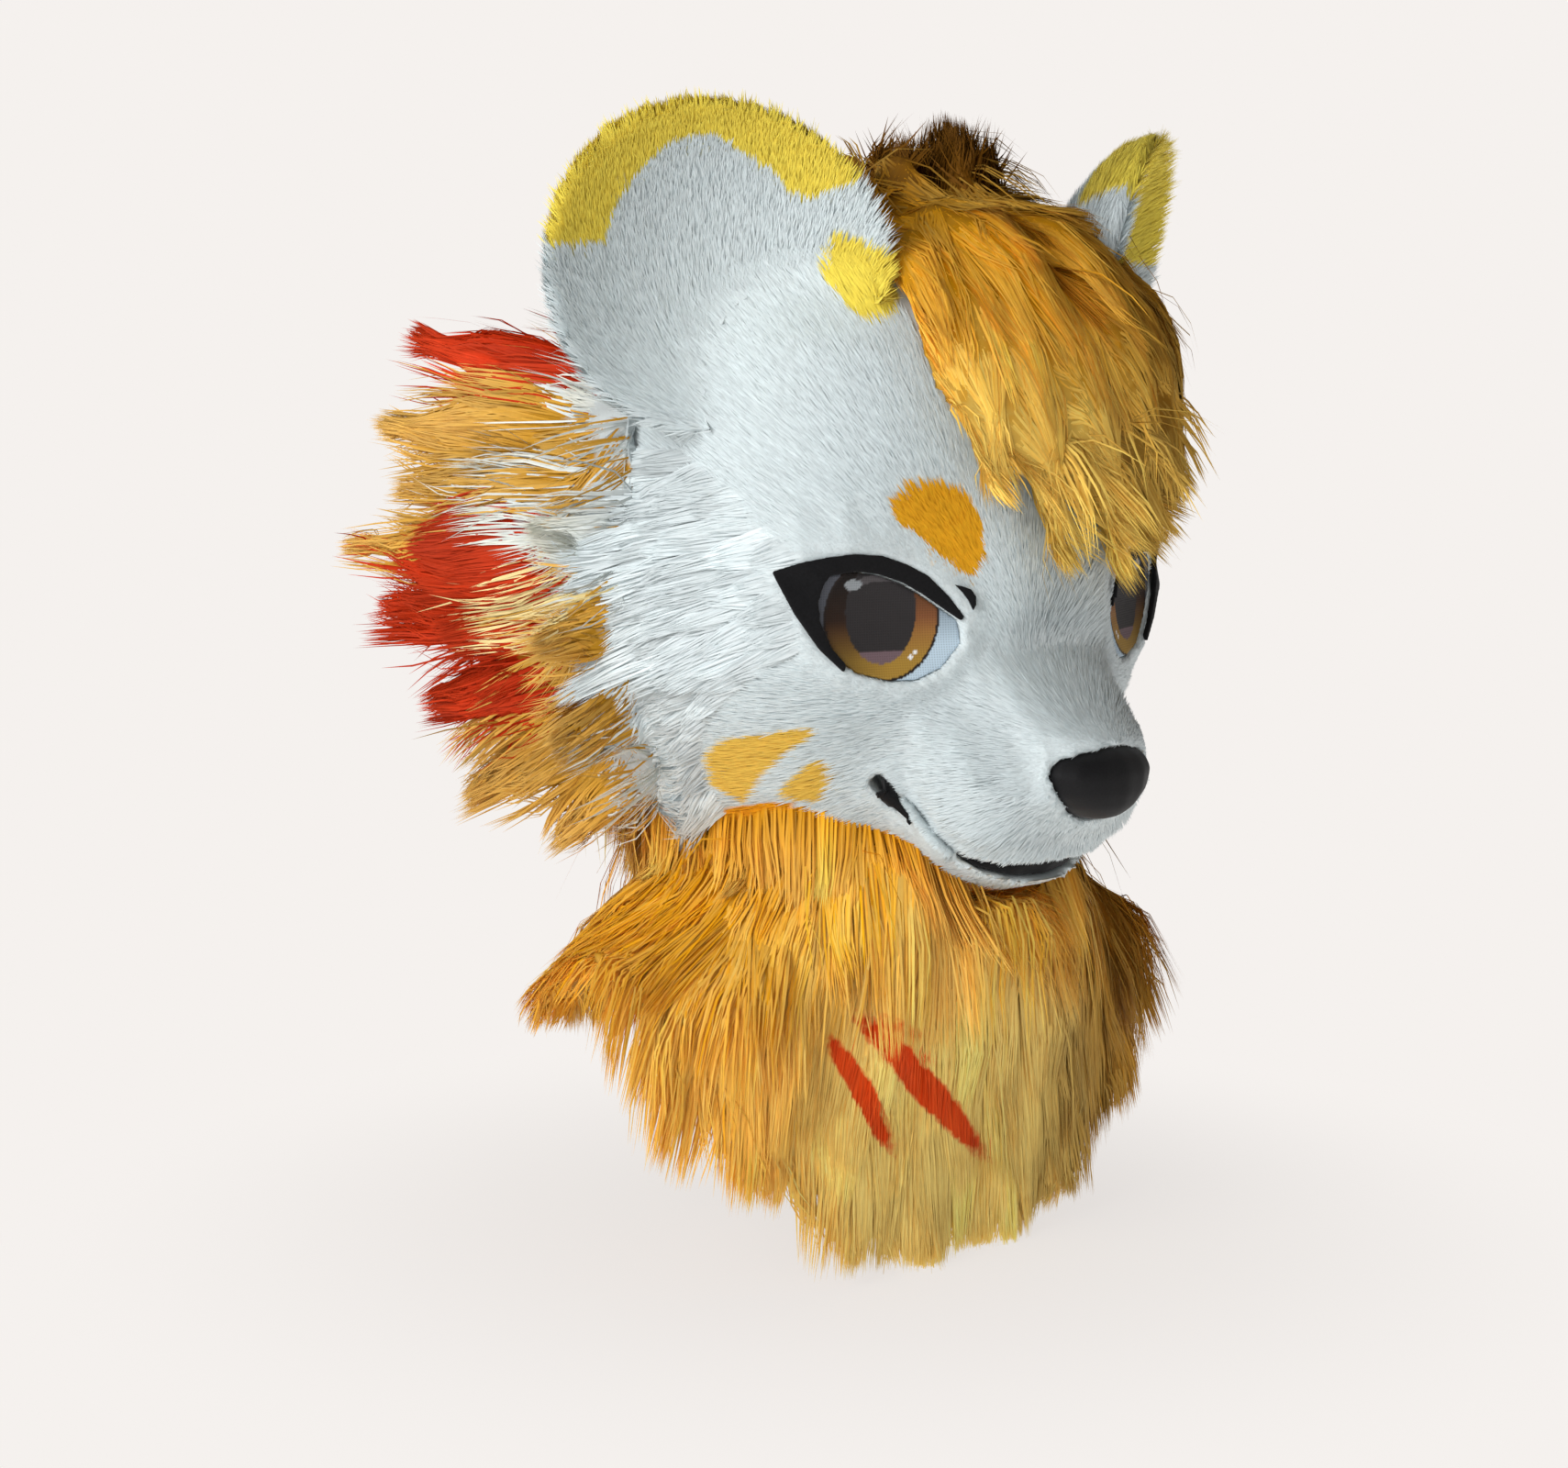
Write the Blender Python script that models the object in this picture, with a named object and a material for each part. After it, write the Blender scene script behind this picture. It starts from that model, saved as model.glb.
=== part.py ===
"""Kemono fursuit head: a hollow white animal head with cupped ears, deep fur locks and a shoulder bib.

Lengths are in millimetres until a mesh is made, and angles are in degrees. The head faces -Y and its
left side is +X. The origin is the crown seat, where the top of the wearer's head touches the hollow.
An azimuth of 0 looks out through the nose and turns towards +X.
"""

import math

import bmesh
import bpy
import numpy as np

MM = 0.001
GAP = 0.4
SHARP_FROM = 50.0

# The head's form, from the crown to the jaw

CORE = np.array([0.0, -20.0, -130.0])
HEAD_TOP = 19.0
DOME_START = -66.0
CHIN_START = -238.0
HEAD_BOTTOM = -270.0
FACE_SQUARENESS = 2.5
BACK_SQUARENESS = 2.1
DOME_SQUARENESS = 2.0
HEAD_COLUMNS = 42
HEAD_RINGS = 22
FACE_CROWDING = 26.0
SECTION_EASE = 9.0

# how near and how far from the core the head's surface is looked for
RAY_NEAR = 30.0
RAY_FAR = 260.0
HALVINGS = 26

# height, half width, reach to the front, reach to the back
HEAD_SECTIONS = (
    (20, 128, 122, 112),
    (-60, 128, 124, 116),
    (-100, 136, 131, 120),
    (-130, 144, 134, 121),
    (-152, 147, 135, 120),
    (-178, 143, 126, 116),
    (-202, 132, 113, 108),
    (-226, 114, 103, 98),
    (-250, 98, 96, 90),
    (-275, 92, 90, 86),
)

# name, half spread, forward, height, then the radii across, along and up
FACE_FORMS = (
    ("muzzle", 0, -99, -214, 64, 65, 39),
    ("lip lobe", 30, -121, -236, 31, 29, 20),
    ("jaw", 0, -86, -253, 52, 54, 30),
)
FORM_BLEND = 14.0

# Each eye lies in an upright plane that is turned outwards

EYE_CENTRE = np.array([83.0, -104.0, -154.0])
EYE_TURN = 21.0
SOCKET_RADII = (92.0, 34.0, 66.0)
SOCKET_DEPTH = 2.0
PANEL_RECESS = 2.6
PANEL_THICKNESS = 2.5
LINER_THICKNESS = 2.4
EDGE_OVERHANG = 4.0
LINER_SINK = 1.2

# how far the eye opening's cut reaches before and behind the eye's plane
EYE_CUT = (40.0, -45.0)

# how far before and behind the eye's plane the fur's surface may lie
EYE_SURFACE = (-30.0, 30.0)

# share of the panel's outline from its middle, and depth behind its front
PANEL_RINGS = ((0.04, 1), (0.55, 1), (1, 1), (1, 0), (0.55, 0), (0.04, 0))

# outer edge outwards, outer edge up, inner edge outwards, inner edge up
LINER_EDGES = (
    (-36.2, -0.2, -35, -2),
    (-29.3, 8.6, -26, 4),
    (-19, 18, -17, 10),
    (-9, 23, -8, 15),
    (3, 27, 4, 19),
    (16, 28, 15, 20.5),
    (28, 27, 27, 19),
    (39, 25, 30, 15),
    (50, 21, 32, 8),
    (42, 3, 31, 0),
    (31, -12, 26, -11),
    (20, -22, 19, -18.5),
)

# outwards, up: the opening's lower edge, from the outer end to the inner
LOWER_LID = (
    (13, -23),
    (-3, -27),
    (-15, -27),
    (-27, -22),
    (-36, -12),
)

# The nose pad and the mouth

NOSE_CENTRE = (0.0, -149.5, -226.0)
NOSE_RADII = (34.0, 19.5, 17.0)
NOSE_TAPER = 0.42
NOSE_TAPER_FROM = 0.35
NOSE_ROWS = 8
NOSE_SIDES = 14

# powers that round the nose's front and its top
NOSE_FRONT = 0.7
NOSE_TOP = 0.85

# azimuth, elevation of the slot's top edge, elevation of its lower edge
MOUTH_EDGES = (
    (-48, -42.5, -44.5),
    (-45, -42.5, -47.5),
    (-41, -46.0, -50.0),
    (-35, -49.2, -51.8),
    (-28, -49.9, -52.1),
    (-19, -49.8, -53.0),
    (-10, -49.2, -53.4),
    (0, -48.8, -53.4),
)
MOUTH_START = -12.0
MOUTH_DEPTH = 26.0
MOUTH_RISE = 0.15
LINING_MARGIN = 0.6
LINING_SETBACK = 7.0
LINING_DEPTH = 12.0

# The ears are cups whose rims lie in leaning planes

EAR_CENTRE = np.array([138.0, -64.0, -8.0])
EAR_RADIUS = 75.0
EAR_FLAT = 0.12
EAR_FLAT_AT = 125.0
EAR_CUP = 30.0
EAR_WALL = 19.0
EAR_TURN = 32.0
EAR_NOD = 12.0
EAR_LEAN = 9.0
EAR_SIDES = 26

# shares of the radius where the cup's front and back have their rings, and the rim's two depths
EAR_FRONT_SHARES = (0.02, 0.3, 0.55, 0.78, 0.93)
EAR_BACK_SHARES = (0.9, 0.7, 0.45, 0.02)
EAR_RIM_DEPTHS = (-4.0, -14.0)

# The hollow for the wearer's head and neck

# height, half width, reach to the front, reach to the back
HOLLOW_SECTIONS = (
    (0, 40, 40, 44),
    (-10, 74, 72, 78),
    (-35, 98, 92, 94),
    (-90, 108, 100, 98),
    (-160, 108, 96, 96),
    (-205, 96, 84, 88),
    (-235, 82, 78, 80),
    (-285, 80, 78, 78),
)
HOLLOW_COLUMNS = 28
HOLLOW_SQUARENESS = 2.2

# The fur's locks

LOCK_SIDES = 8
LOCK_STEPS = 6
CAP_SIDES = 24
FUR_FINENESS = 3.5
FORELOCK_FACES = 1200
CHEEK_FACES = 650
ROOT_DEPTH = 6.0

# how deep a standing lock starts, and how far along its reach it bends
LOCK_ROOT = 4.0
LOCK_KNEE = 0.45

# a lock's thickness as a share of its width, where it hugs the head and where it stands off
HUGGING_FLATNESS = 0.42
STANDING_FLATNESS = 0.5

# a lock's fullness at its root and at its tip
LOCK_ROOT_FULL = 0.75
LOCK_TIP_FULL = 0.06

# how far a hugging lock's root and tip stand off the head
HUGGING_LIFTS = (3.0, 7.0)

# where a cap's rings lie, and how much thinner it is at its edge
CAP_SHARES = (0.03, 0.4, 0.75, 1.0)
CAP_THINNING = 0.6

# centre azimuth, centre elevation, half angle across, half angle along, thickness
FORELOCK_CAPS = (
    (18, 42, 40, 36, 9),
    (0, 84, 44, 34, 9),
)
CHEEK_CAP = (112, -6, 21, 42, 8)

# root azimuth, root elevation, tip azimuth, tip elevation, width, lift
FORELOCK_LOCKS = (
    (-34, 66, -36, 26, 40, 9),
    (-30, 62, -25, 9, 44, 10),
    (-20, 58, -9, -3, 46, 12),
    (-4, 58, 9, -4, 46, 13),
    (14, 58, 25, 2, 46, 14),
    (32, 58, 40, 7, 46, 14),
    (50, 58, 54, 11, 46, 14),
    (68, 56, 67, 18, 44, 13),
    (-14, 76, -4, 30, 52, 13),
    (30, 76, 24, 26, 52, 14),
    (66, 74, 50, 28, 52, 13),
)

# root azimuth, root elevation, then the tip's place, and the width
CROWN_LOCKS = (
    (-60, 76, -14, 8, 44, 44),
    (-20, 80, 8, -4, 47, 46),
    (30, 76, 38, -2, 45, 46),
    (60, 72, 62, 4, 40, 44),
    (120, 74, 34, 34, 38, 46),
)

CHEEK_LOCKS = (
    (119, 27, 150, 124, -36, 44),
    (118, 18, 163, 128, -76, 48),
    (113, 8, 160, 118, -100, 46),
    (112, -1, 178, 136, -126, 52),
    (116, -10, 168, 126, -150, 50),
    (120, -21, 153, 113, -192, 50),
    (122, -32, 140, 106, -235, 44),
    (118, -41, 108, 78, -254, 40),
    (98, 6, 176, 14, -116, 42),
    (96, -10, 187, -6, -156, 44),
    (97, -26, 178, -4, -202, 42),
)

# The long fur on the back of the head

BACK_AZIMUTHS = (131.0, 229.0)
BACK_ELEVATIONS = (64.0, -37.0)
BACK_FUR = 9.0
BACK_COLUMNS = 16
BACK_ROWS = 6
BACK_POINT = 5.0

# the back fur's thickness in the hollow between two strips, and what a strip and a tier's end add
BACK_RELIEF = (0.45, 0.35, 0.35)

# The bib lies over a neck and shoulders

# height, half width, reach to the front, reach to the back
BIB_SECTIONS = (
    (-246, 88, 88, 84),
    (-262, 90, 96, 85),
    (-278, 98, 100, 86),
    (-290, 116, 98, 86),
    (-300, 144, 93, 86),
    (-312, 166, 86, 84),
    (-335, 176, 80, 82),
    (-360, 174, 80, 80),
    (-400, 156, 78, 76),
    (-460, 136, 68, 72),
)
BIB_FRONT_SQUARENESS = 2.3
BIB_BACK_SQUARENESS = 1.9
BIB_WALL = 9.0
BIB_TOP = -246.0
BIB_COLUMNS = 42
BIB_ROWS = 9
BIB_INNER_STEP = 3

# turn from the front, height of the hem
BIB_HEM = (
    (0, -442),
    (22, -435),
    (40, -388),
    (58, -340),
    (76, -308),
    (95, -302),
    (125, -332),
    (150, -344),
    (180, -348),
)

# the bib's tiers of locks
BIB_TIERS = 3
BIB_LOCK_RISE = 13.0
BIB_LOCK_POINT = 13.0

# the locks' height at a tier's top as a share of the full rise, and in the hollows between them
BIB_TIER_TOP = 0.25
BIB_HOLLOW = 0.35


def clear_scene():
    for old in list(bpy.data.objects):
        bpy.data.objects.remove(old, do_unlink=True)


def make_material(name, colour, roughness):
    material = bpy.data.materials.new(name)
    material.use_nodes = True
    shader = material.node_tree.nodes["Principled BSDF"]
    shader.inputs["Base Color"].default_value = (*colour, 1.0)
    shader.inputs["Roughness"].default_value = roughness
    return material


def make_piece(name, form, material, side=1):
    """A mesh object from points in millimetres. side -1 mirrors it to the other half of the head."""
    points, faces = form
    points = np.asarray(points, float) * MM
    if side < 0:
        points = points * (-1, 1, 1)
        faces = [tuple(reversed(face)) for face in faces]
    mesh = bpy.data.meshes.new(name)
    mesh.from_pydata(points.tolist(), [], faces)
    if material:
        mesh.materials.append(material)
    mesh.shade_smooth()
    mesh.set_sharp_from_angle(angle=math.radians(SHARP_FROM))
    piece = bpy.data.objects.new(name, mesh)
    bpy.context.collection.objects.link(piece)
    return piece


def make_cutter(name, form, side=1):
    cutter = make_piece(name, form, None, side)
    cutter.hide_render = True
    cutter.display_type = "WIRE"
    return cutter



def fuse(piece, fineness, faces):
    """Makes one closed skin over everything in the piece, then merges its flattest faces."""
    skin = piece.modifiers.new("skin", "REMESH")
    skin.mode = "VOXEL"
    skin.voxel_size = fineness * MM
    settle(piece)
    step = piece.modifiers.new("thin", "DECIMATE")
    step.ratio = faces / sum(len(face.vertices) - 2 for face in piece.data.polygons)
    settle(piece)


def carve(piece, *cutters, solver="EXACT"):
    for cutter in cutters:
        step = piece.modifiers.new("carve", "BOOLEAN")
        step.operation = "DIFFERENCE"
        step.solver = solver
        step.object = cutter


def bodies_of(shape):
    """The faces of each separate body of a bmesh, the smallest body first."""
    seen, bodies = set(), []
    for start in shape.faces:
        body, front = [], [start]
        while front:
            face = front.pop()
            if face in seen:
                continue
            seen.add(face)
            body.append(face)
            for edge in face.edges:
                if len(edge.link_faces) == 2:
                    front += edge.link_faces
        if body:
            bodies.append(body)
    return sorted(bodies, key=len)


def settle(piece):
    """Keeps the largest body of what the piece's modifiers make, so no crumb and no closed pocket is left."""
    graph = bpy.context.evaluated_depsgraph_get()
    mesh = bpy.data.meshes.new_from_object(piece.evaluated_get(graph), depsgraph=graph)
    shape = bmesh.new()
    shape.from_mesh(mesh)
    crumbs = [face for body in bodies_of(shape)[:-1] for face in body]
    bmesh.ops.delete(shape, geom=crumbs, context="FACES")
    shape.to_mesh(mesh)
    shape.free()
    mesh.shade_smooth()
    mesh.set_sharp_from_angle(angle=math.radians(SHARP_FROM))
    piece.modifiers.clear()
    piece.data = mesh


def loft(rings):
    """A closed skin through rings of equal length that turn anticlockwise as the first end shows them."""
    count = len(rings[0])
    points = [tuple(point) for ring in rings for point in ring]
    faces = [tuple(range(count))]
    for row in range(len(rings) - 1):
        for i in range(count):
            j = (i + 1) % count
            top, low = row * count, (row + 1) * count
            faces += [(top + i, low + i, low + j), (top + i, low + j, top + j)]
    last = (len(rings) - 1) * count
    faces.append(tuple(last + i for i in reversed(range(count))))
    return points, faces


def join_forms(forms):
    points, faces = [], []
    for more_points, more_faces in forms:
        base = len(points)
        points += more_points
        faces += [tuple(base + i for i in face) for face in more_faces]
    return points, faces


# The head as one smooth form

def section_at(table, height):
    """The columns of a table of sections at a height, eased over the rows' corners."""
    rows = np.array(sorted(table), float)
    columns = []
    for column in range(1, rows.shape[1]):
        samples = [np.interp(height + shift, rows[:, 0], rows[:, column]) for shift in (-SECTION_EASE, 0, SECTION_EASE)]
        columns.append(sum(samples) / 3)
    return columns


def ellipsoid_distance(p, radii):
    radii = np.array(radii, float)
    scaled = np.linalg.norm(p / radii, axis=1)
    slope = np.linalg.norm(p / radii**2, axis=1) + 1e-9
    return scaled * (scaled - 1) / slope


def smooth_union(a, b, width):
    share = np.clip(0.5 + 0.5 * (b - a) / width, 0, 1)
    return b * (1 - share) + a * share - width * share * (1 - share)


def eye_axes():
    """Outwards, up and forward for the left eye."""
    turn = math.radians(EYE_TURN)
    outwards = np.array([math.cos(turn), math.sin(turn), 0.0])
    up = np.array([0.0, 0.0, 1.0])
    forward = np.array([math.sin(turn), -math.cos(turn), 0.0])
    return outwards, up, forward


def head_distance(p):
    """How far points lie outside the head's outer form, negative inside."""
    x, y, z = np.abs(p[:, 0]), p[:, 1], p[:, 2]
    width, front, back = section_at(HEAD_SECTIONS, z)
    reach = np.where(y < 0, front, back)
    over = np.maximum(z - DOME_START, 0) / (HEAD_TOP - DOME_START)
    under = np.maximum(CHIN_START - z, 0) / (CHIN_START - HEAD_BOTTOM)
    power = np.where(y < 0, FACE_SQUARENESS, BACK_SQUARENESS)
    level = (x / width) ** power + (np.abs(y) / reach) ** power
    total = level + over**DOME_SQUARENESS + under**DOME_SQUARENESS
    distance = (total ** (1 / power) - 1) * np.minimum(width, reach)
    half = np.stack([x, y, z], axis=1)
    for _, spread, forward, height, across, along, up in FACE_FORMS:
        form = ellipsoid_distance(half - (spread, forward, height), (across, along, up))
        distance = smooth_union(distance, form, FORM_BLEND)
    outwards, up, forward = eye_axes()
    offset = half - EYE_CENTRE - forward * (SOCKET_RADII[1] - SOCKET_DEPTH)
    local = np.stack([offset @ outwards, offset @ forward, offset @ up], axis=1)
    socket = ellipsoid_distance(local, SOCKET_RADII)
    return -smooth_union(-distance, socket, FORM_BLEND / 2)


def on_ray(origin, rays, near, far):
    """How far along each ray the head's surface lies, for rays that leave the head once."""
    near = np.full(len(rays), float(near))
    far = np.full(len(rays), float(far))
    for _ in range(HALVINGS):
        middle = (near + far) / 2
        inside = head_distance(origin + rays * middle[:, None]) < 0
        near = np.where(inside, middle, near)
        far = np.where(inside, far, middle)
    return near


def on_head(azimuth, elevation, lift=0.0):
    """Points on the head's outer form as seen from its core, raised by lift along the same ray."""
    a, e = np.radians(np.atleast_1d(azimuth)), np.radians(np.atleast_1d(elevation))
    rays = np.stack([np.sin(a) * np.cos(e), -np.cos(a) * np.cos(e), np.sin(e) + 0 * a], axis=1)
    return CORE + rays * (on_ray(CORE, rays, RAY_NEAR, RAY_FAR) + lift)[:, None]


def head_form(lift=0.0):
    """The closed outer form: its columns stand closer on the face than at the back."""
    turn = np.arange(HEAD_COLUMNS) / HEAD_COLUMNS * 360 - 180
    azimuths = turn - FACE_CROWDING * np.sin(np.radians(turn))
    elevations = 90 - 180 * (np.arange(HEAD_RINGS) + 0.5) / HEAD_RINGS
    return loft([on_head(azimuths, np.full(HEAD_COLUMNS, e), lift) for e in elevations])


def level_ring(width, front, back, count, power):
    """One level ring of (x, y) points, from the front over +X to the back and round."""
    points = []
    for i in range(count):
        turn = 2 * math.pi * i / count
        across, along = math.sin(turn), -math.cos(turn)
        reach = front if along < 0 else back
        x = math.copysign(abs(across) ** (2 / power), across) * width
        y = math.copysign(abs(along) ** (2 / power), along) * reach
        points.append((x, y))
    return points


def hollow_form():
    rings = []
    for height, width, front, back in HOLLOW_SECTIONS:
        rings.append([(x, y, height) for x, y in level_ring(width, front, back, HOLLOW_COLUMNS, HOLLOW_SQUARENESS)])
    return loft(rings)


# Eyes, nose and mouth

def eye_point(out, up_by, forward_by=0.0):
    outwards, up, forward = eye_axes()
    return EYE_CENTRE + outwards * out + up * up_by + forward * forward_by


def eye_outline(shrink=0.0):
    """The opening's outline, from the inner end over the top, in the eye's plane."""
    outline = [(inner_out, inner_up) for _, _, inner_out, inner_up in LINER_EDGES] + list(LOWER_LID)
    middle = np.mean(outline, axis=0)
    points = []
    for point in outline:
        arm = np.array(point, float) - middle
        points.append(middle + arm * (1 - shrink / np.linalg.norm(arm)))
    return points


def eye_prism(shrink, front, back):
    """A prism of the eye's outline between two depths, both measured forward of the eye's plane."""
    outline = list(reversed(eye_outline(shrink)))
    return loft([[eye_point(u, v, depth) for u, v in outline] for depth in (front, back)])


def panel_form():
    """The printed mesh: it fills the opening and follows the fur around it."""
    outline = np.array(list(reversed(eye_outline(GAP))))
    middle = outline.mean(axis=0)
    rings = []
    for share, behind in PANEL_RINGS:
        ring = []
        for u, v in middle + (outline - middle) * share:
            depth = surface_before_eye(u, v) - PANEL_RECESS - PANEL_THICKNESS * behind
            ring.append(eye_point(u, v, depth))
        rings.append(ring)
    return loft(rings[::-1])


def surface_before_eye(out, up_by):
    """How far forward of the eye's plane the fur lies at a place in the plane."""
    forward = eye_axes()[2]
    back, front = EYE_SURFACE
    start = eye_point(out, up_by, back)
    return on_ray(start, forward[None, :], 0, front - back)[0] + back


def liner_form(grow=0.0, overhang=0.0):
    """The lid line and outer wing, one strip that follows the fur. overhang widens it into the opening."""
    edges = np.array(LINER_EDGES, float)
    for end, beside in ((0, 1), (-1, -2)):
        step = edges[end] - edges[beside]
        edges[end] += step / np.linalg.norm(step) * grow * 2
    rings = []
    for edge in edges:
        a, b = edge[:2], edge[2:]
        arm = (a - b) / np.linalg.norm(a - b)
        a, b = a + arm * grow, b - arm * (grow + overhang)
        low_a = surface_before_eye(*a) - LINER_SINK - grow
        low_b = surface_before_eye(*b) - LINER_SINK - grow
        thick = LINER_THICKNESS + 2 * grow
        ring = [(*a, low_a), (*b, low_b), (*b, low_b + thick), (*a, low_a + thick)]
        rings.append([eye_point(*corner) for corner in ring])
    return loft(rings)


def nose_form(grow=0.0):
    rings = []
    for row in range(NOSE_ROWS):
        lean = math.radians(90 - 180 * (row + 0.35) / (NOSE_ROWS - 0.3))
        rise, round_by = math.sin(lean), math.cos(lean)
        taper = 1 - NOSE_TAPER * max(0.0, NOSE_TAPER_FROM - rise) / (1 + NOSE_TAPER_FROM)
        ring = []
        for i in range(NOSE_SIDES):
            turn = 2 * math.pi * i / NOSE_SIDES
            x = (NOSE_RADII[0] + grow) * round_by * taper * math.sin(turn)
            y = -(NOSE_RADII[1] + grow) * round_by**NOSE_FRONT * math.cos(turn)
            z = (NOSE_RADII[2] + grow) * math.copysign(abs(rise) ** NOSE_TOP, rise)
            ring.append((NOSE_CENTRE[0] + x, NOSE_CENTRE[1] + y, NOSE_CENTRE[2] + z))
        rings.append(ring)
    return loft(rings)


def mouth_form(start, depth, shrink=0.0):
    """The slot between the lips, from start to depth millimetres behind the fur. shrink is an angle."""
    rows = list(MOUTH_EDGES) + [(-a, top, low) for a, top, low in reversed(MOUTH_EDGES[:-1])]
    rings = []
    if shrink:
        rows = rows[1:-1]
    for azimuth, top, low in rows:
        upper, lower = on_head([azimuth, azimuth], [top - shrink, low + shrink])
        a = math.radians(azimuth)
        inwards = np.array([-math.sin(a), math.cos(a), 0.0])
        inwards[2] = MOUTH_RISE
        front_up, front_low = upper + inwards * start, lower + inwards * start
        back_up, back_low = upper + inwards * depth, lower + inwards * depth
        rings.append([back_up, back_low, front_low, front_up])
    return loft(rings)


# Ears

def ear_form(grow=0.0):
    turn, nod, lean = (math.radians(a) for a in (EAR_TURN, EAR_NOD, EAR_LEAN))
    facing = np.array([math.sin(turn) * math.cos(nod), -math.cos(turn) * math.cos(nod), -math.sin(nod)])
    across = np.array([math.cos(turn), math.sin(turn), 0.0])
    up = np.cross(facing, across)
    up, across = up * math.cos(lean) + across * math.sin(lean), across * math.cos(lean) - up * math.sin(lean)
    front = [(share, -EAR_CUP * (1 - share**2) + grow) for share in EAR_FRONT_SHARES]
    rim_share = 1.0 + grow / EAR_RADIUS
    rim = [(rim_share, EAR_RIM_DEPTHS[0] + grow), (rim_share, EAR_RIM_DEPTHS[1] - grow)]
    back = [(share, -EAR_CUP * (1 - share**2) - EAR_WALL - grow) for share in EAR_BACK_SHARES]
    rings = []
    for share, depth in front + rim + back:
        ring = []
        for i in range(EAR_SIDES):
            angle = 2 * math.pi * i / EAR_SIDES
            inner_top = max(0.0, math.cos(angle - math.radians(EAR_FLAT_AT)))
            reach = EAR_RADIUS * share * (1 - EAR_FLAT * inner_top**2)
            sideways, upwards = reach * math.cos(angle), reach * math.sin(angle)
            ring.append(EAR_CENTRE + across * sideways + up * upwards + facing * depth)
        rings.append(ring)
    return loft(rings)


# Fur locks

def lock_form(path, outward, width, thickness):
    """A flat tapering lock along a path. outward is the way its broad side faces."""
    rings = []
    last = len(path) - 1
    for i, point in enumerate(path):
        along = path[min(i + 1, last)] - path[max(i - 1, 0)]
        along = along / np.linalg.norm(along)
        out = outward[i] - along * (outward[i] @ along)
        out = out / np.linalg.norm(out)
        aside = np.cross(along, out)
        share = i / last
        full = max(LOCK_TIP_FULL, (1 - share**3) * min(1.0, LOCK_ROOT_FULL + share))
        half_width = width / 2 * full
        half_thick = thickness / 2 * full
        ring = []
        for k in range(LOCK_SIDES):
            angle = 2 * math.pi * k / LOCK_SIDES
            ring.append(point + aside * half_width * math.cos(angle) + out * half_thick * math.sin(angle))
        rings.append(ring)
    return loft(rings)


def hugging_lock(root_az, root_el, tip_az, tip_el, width, lift):
    """A lock that follows the head from its root to its tip and stands off it in between."""
    shares = np.linspace(0, 1, LOCK_STEPS + 1)
    azimuths = root_az + (tip_az - root_az) * shares
    elevations = root_el + (tip_el - root_el) * shares
    root_lift, tip_lift = HUGGING_LIFTS
    lifts = root_lift + (tip_lift - root_lift) * shares + lift * np.sin(np.pi * shares**0.8) ** 0.7
    path = on_head(azimuths, elevations, lifts)
    return lock_form(path, path - CORE, width, width * HUGGING_FLATNESS)


def standing_lock(root_az, root_el, tip, width):
    """A lock that leaves the head and curves to a tip in the air."""
    root = on_head(root_az, root_el, -LOCK_ROOT)[0]
    tip = np.array(tip, float)
    away = root - CORE
    away = away / np.linalg.norm(away)
    reach = np.linalg.norm(tip - root)
    knee = root + away * reach * LOCK_KNEE
    outward = np.cross(np.array([0.0, 0.0, 1.0]), tip - root) + away * 0.2 * reach
    path = []
    for share in np.linspace(0, 1, LOCK_STEPS + 1):
        path.append(root * (1 - share) ** 2 + knee * 2 * share * (1 - share) + tip * share**2)
    return lock_form(path, [outward] * len(path), width, width * STANDING_FLATNESS)


def cap_form(centre_az, centre_el, half_across, half_along, thickness):
    """A lens of fur over an oval of directions, rooted below the head's surface."""
    a, e = math.radians(centre_az), math.radians(centre_el)
    centre = np.array([math.sin(a) * math.cos(e), -math.cos(a) * math.cos(e), math.sin(e)])
    across = np.array([math.cos(a), math.sin(a), 0.0])
    along = np.cross(across, centre)
    wide, high = math.tan(math.radians(half_across)), math.tan(math.radians(half_along))
    rings = []
    heights = [(share, -ROOT_DEPTH) for share in CAP_SHARES]
    heights += [(share, thickness * (1 - CAP_THINNING * share**3)) for share in reversed(CAP_SHARES)]
    turns = np.radians(np.arange(CAP_SIDES) * 360 / CAP_SIDES)
    for share, lift in heights:
        x = across * wide * share * -np.sin(turns)[:, None]
        y = along * high * share * np.cos(turns)[:, None]
        rays = (centre + x + y) / np.linalg.norm(centre + x + y, axis=1)[:, None]
        rings.append(CORE + rays * (on_ray(CORE, rays, RAY_NEAR, RAY_FAR) + lift)[:, None])
    return loft(rings)


def fur_piece(name, backings, locks, faces, material, side=1):
    """Backings and their locks under one skin."""
    piece = make_piece(name, join_forms(backings + locks), material, side)
    fuse(piece, FUR_FINENESS, faces)
    return piece


def back_form(grow=0.0):
    """The back's fur: strips that run down the head, thicken down each tier and end in points."""
    first, last = BACK_AZIMUTHS
    top, bottom = BACK_ELEVATIONS
    azimuths = np.linspace(first - grow / 2, last + grow / 2, BACK_COLUMNS + 1)
    inner, outer = [], []
    for row in range(BACK_ROWS + 1):
        share = row / BACK_ROWS
        elevations = np.full(BACK_COLUMNS + 1, top + (bottom - top) * share + (grow if row == 0 else -grow) / 2)
        strips = np.arange(BACK_COLUMNS + 1) % 2
        if row == BACK_ROWS:
            elevations = elevations - BACK_POINT * strips
        hollow, strip, tier_end = BACK_RELIEF
        lifts = BACK_FUR * (hollow + strip * strips + tier_end * (row % 2)) + grow
        inner.append(on_head(azimuths, elevations, -ROOT_DEPTH))
        outer.append(on_head(azimuths, elevations, lifts))
    rings = []
    for column in range(BACK_COLUMNS + 1):
        rings.append([row[column] for row in inner] + [row[column] for row in reversed(outer)])
    return loft(rings)


# The bib

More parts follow.
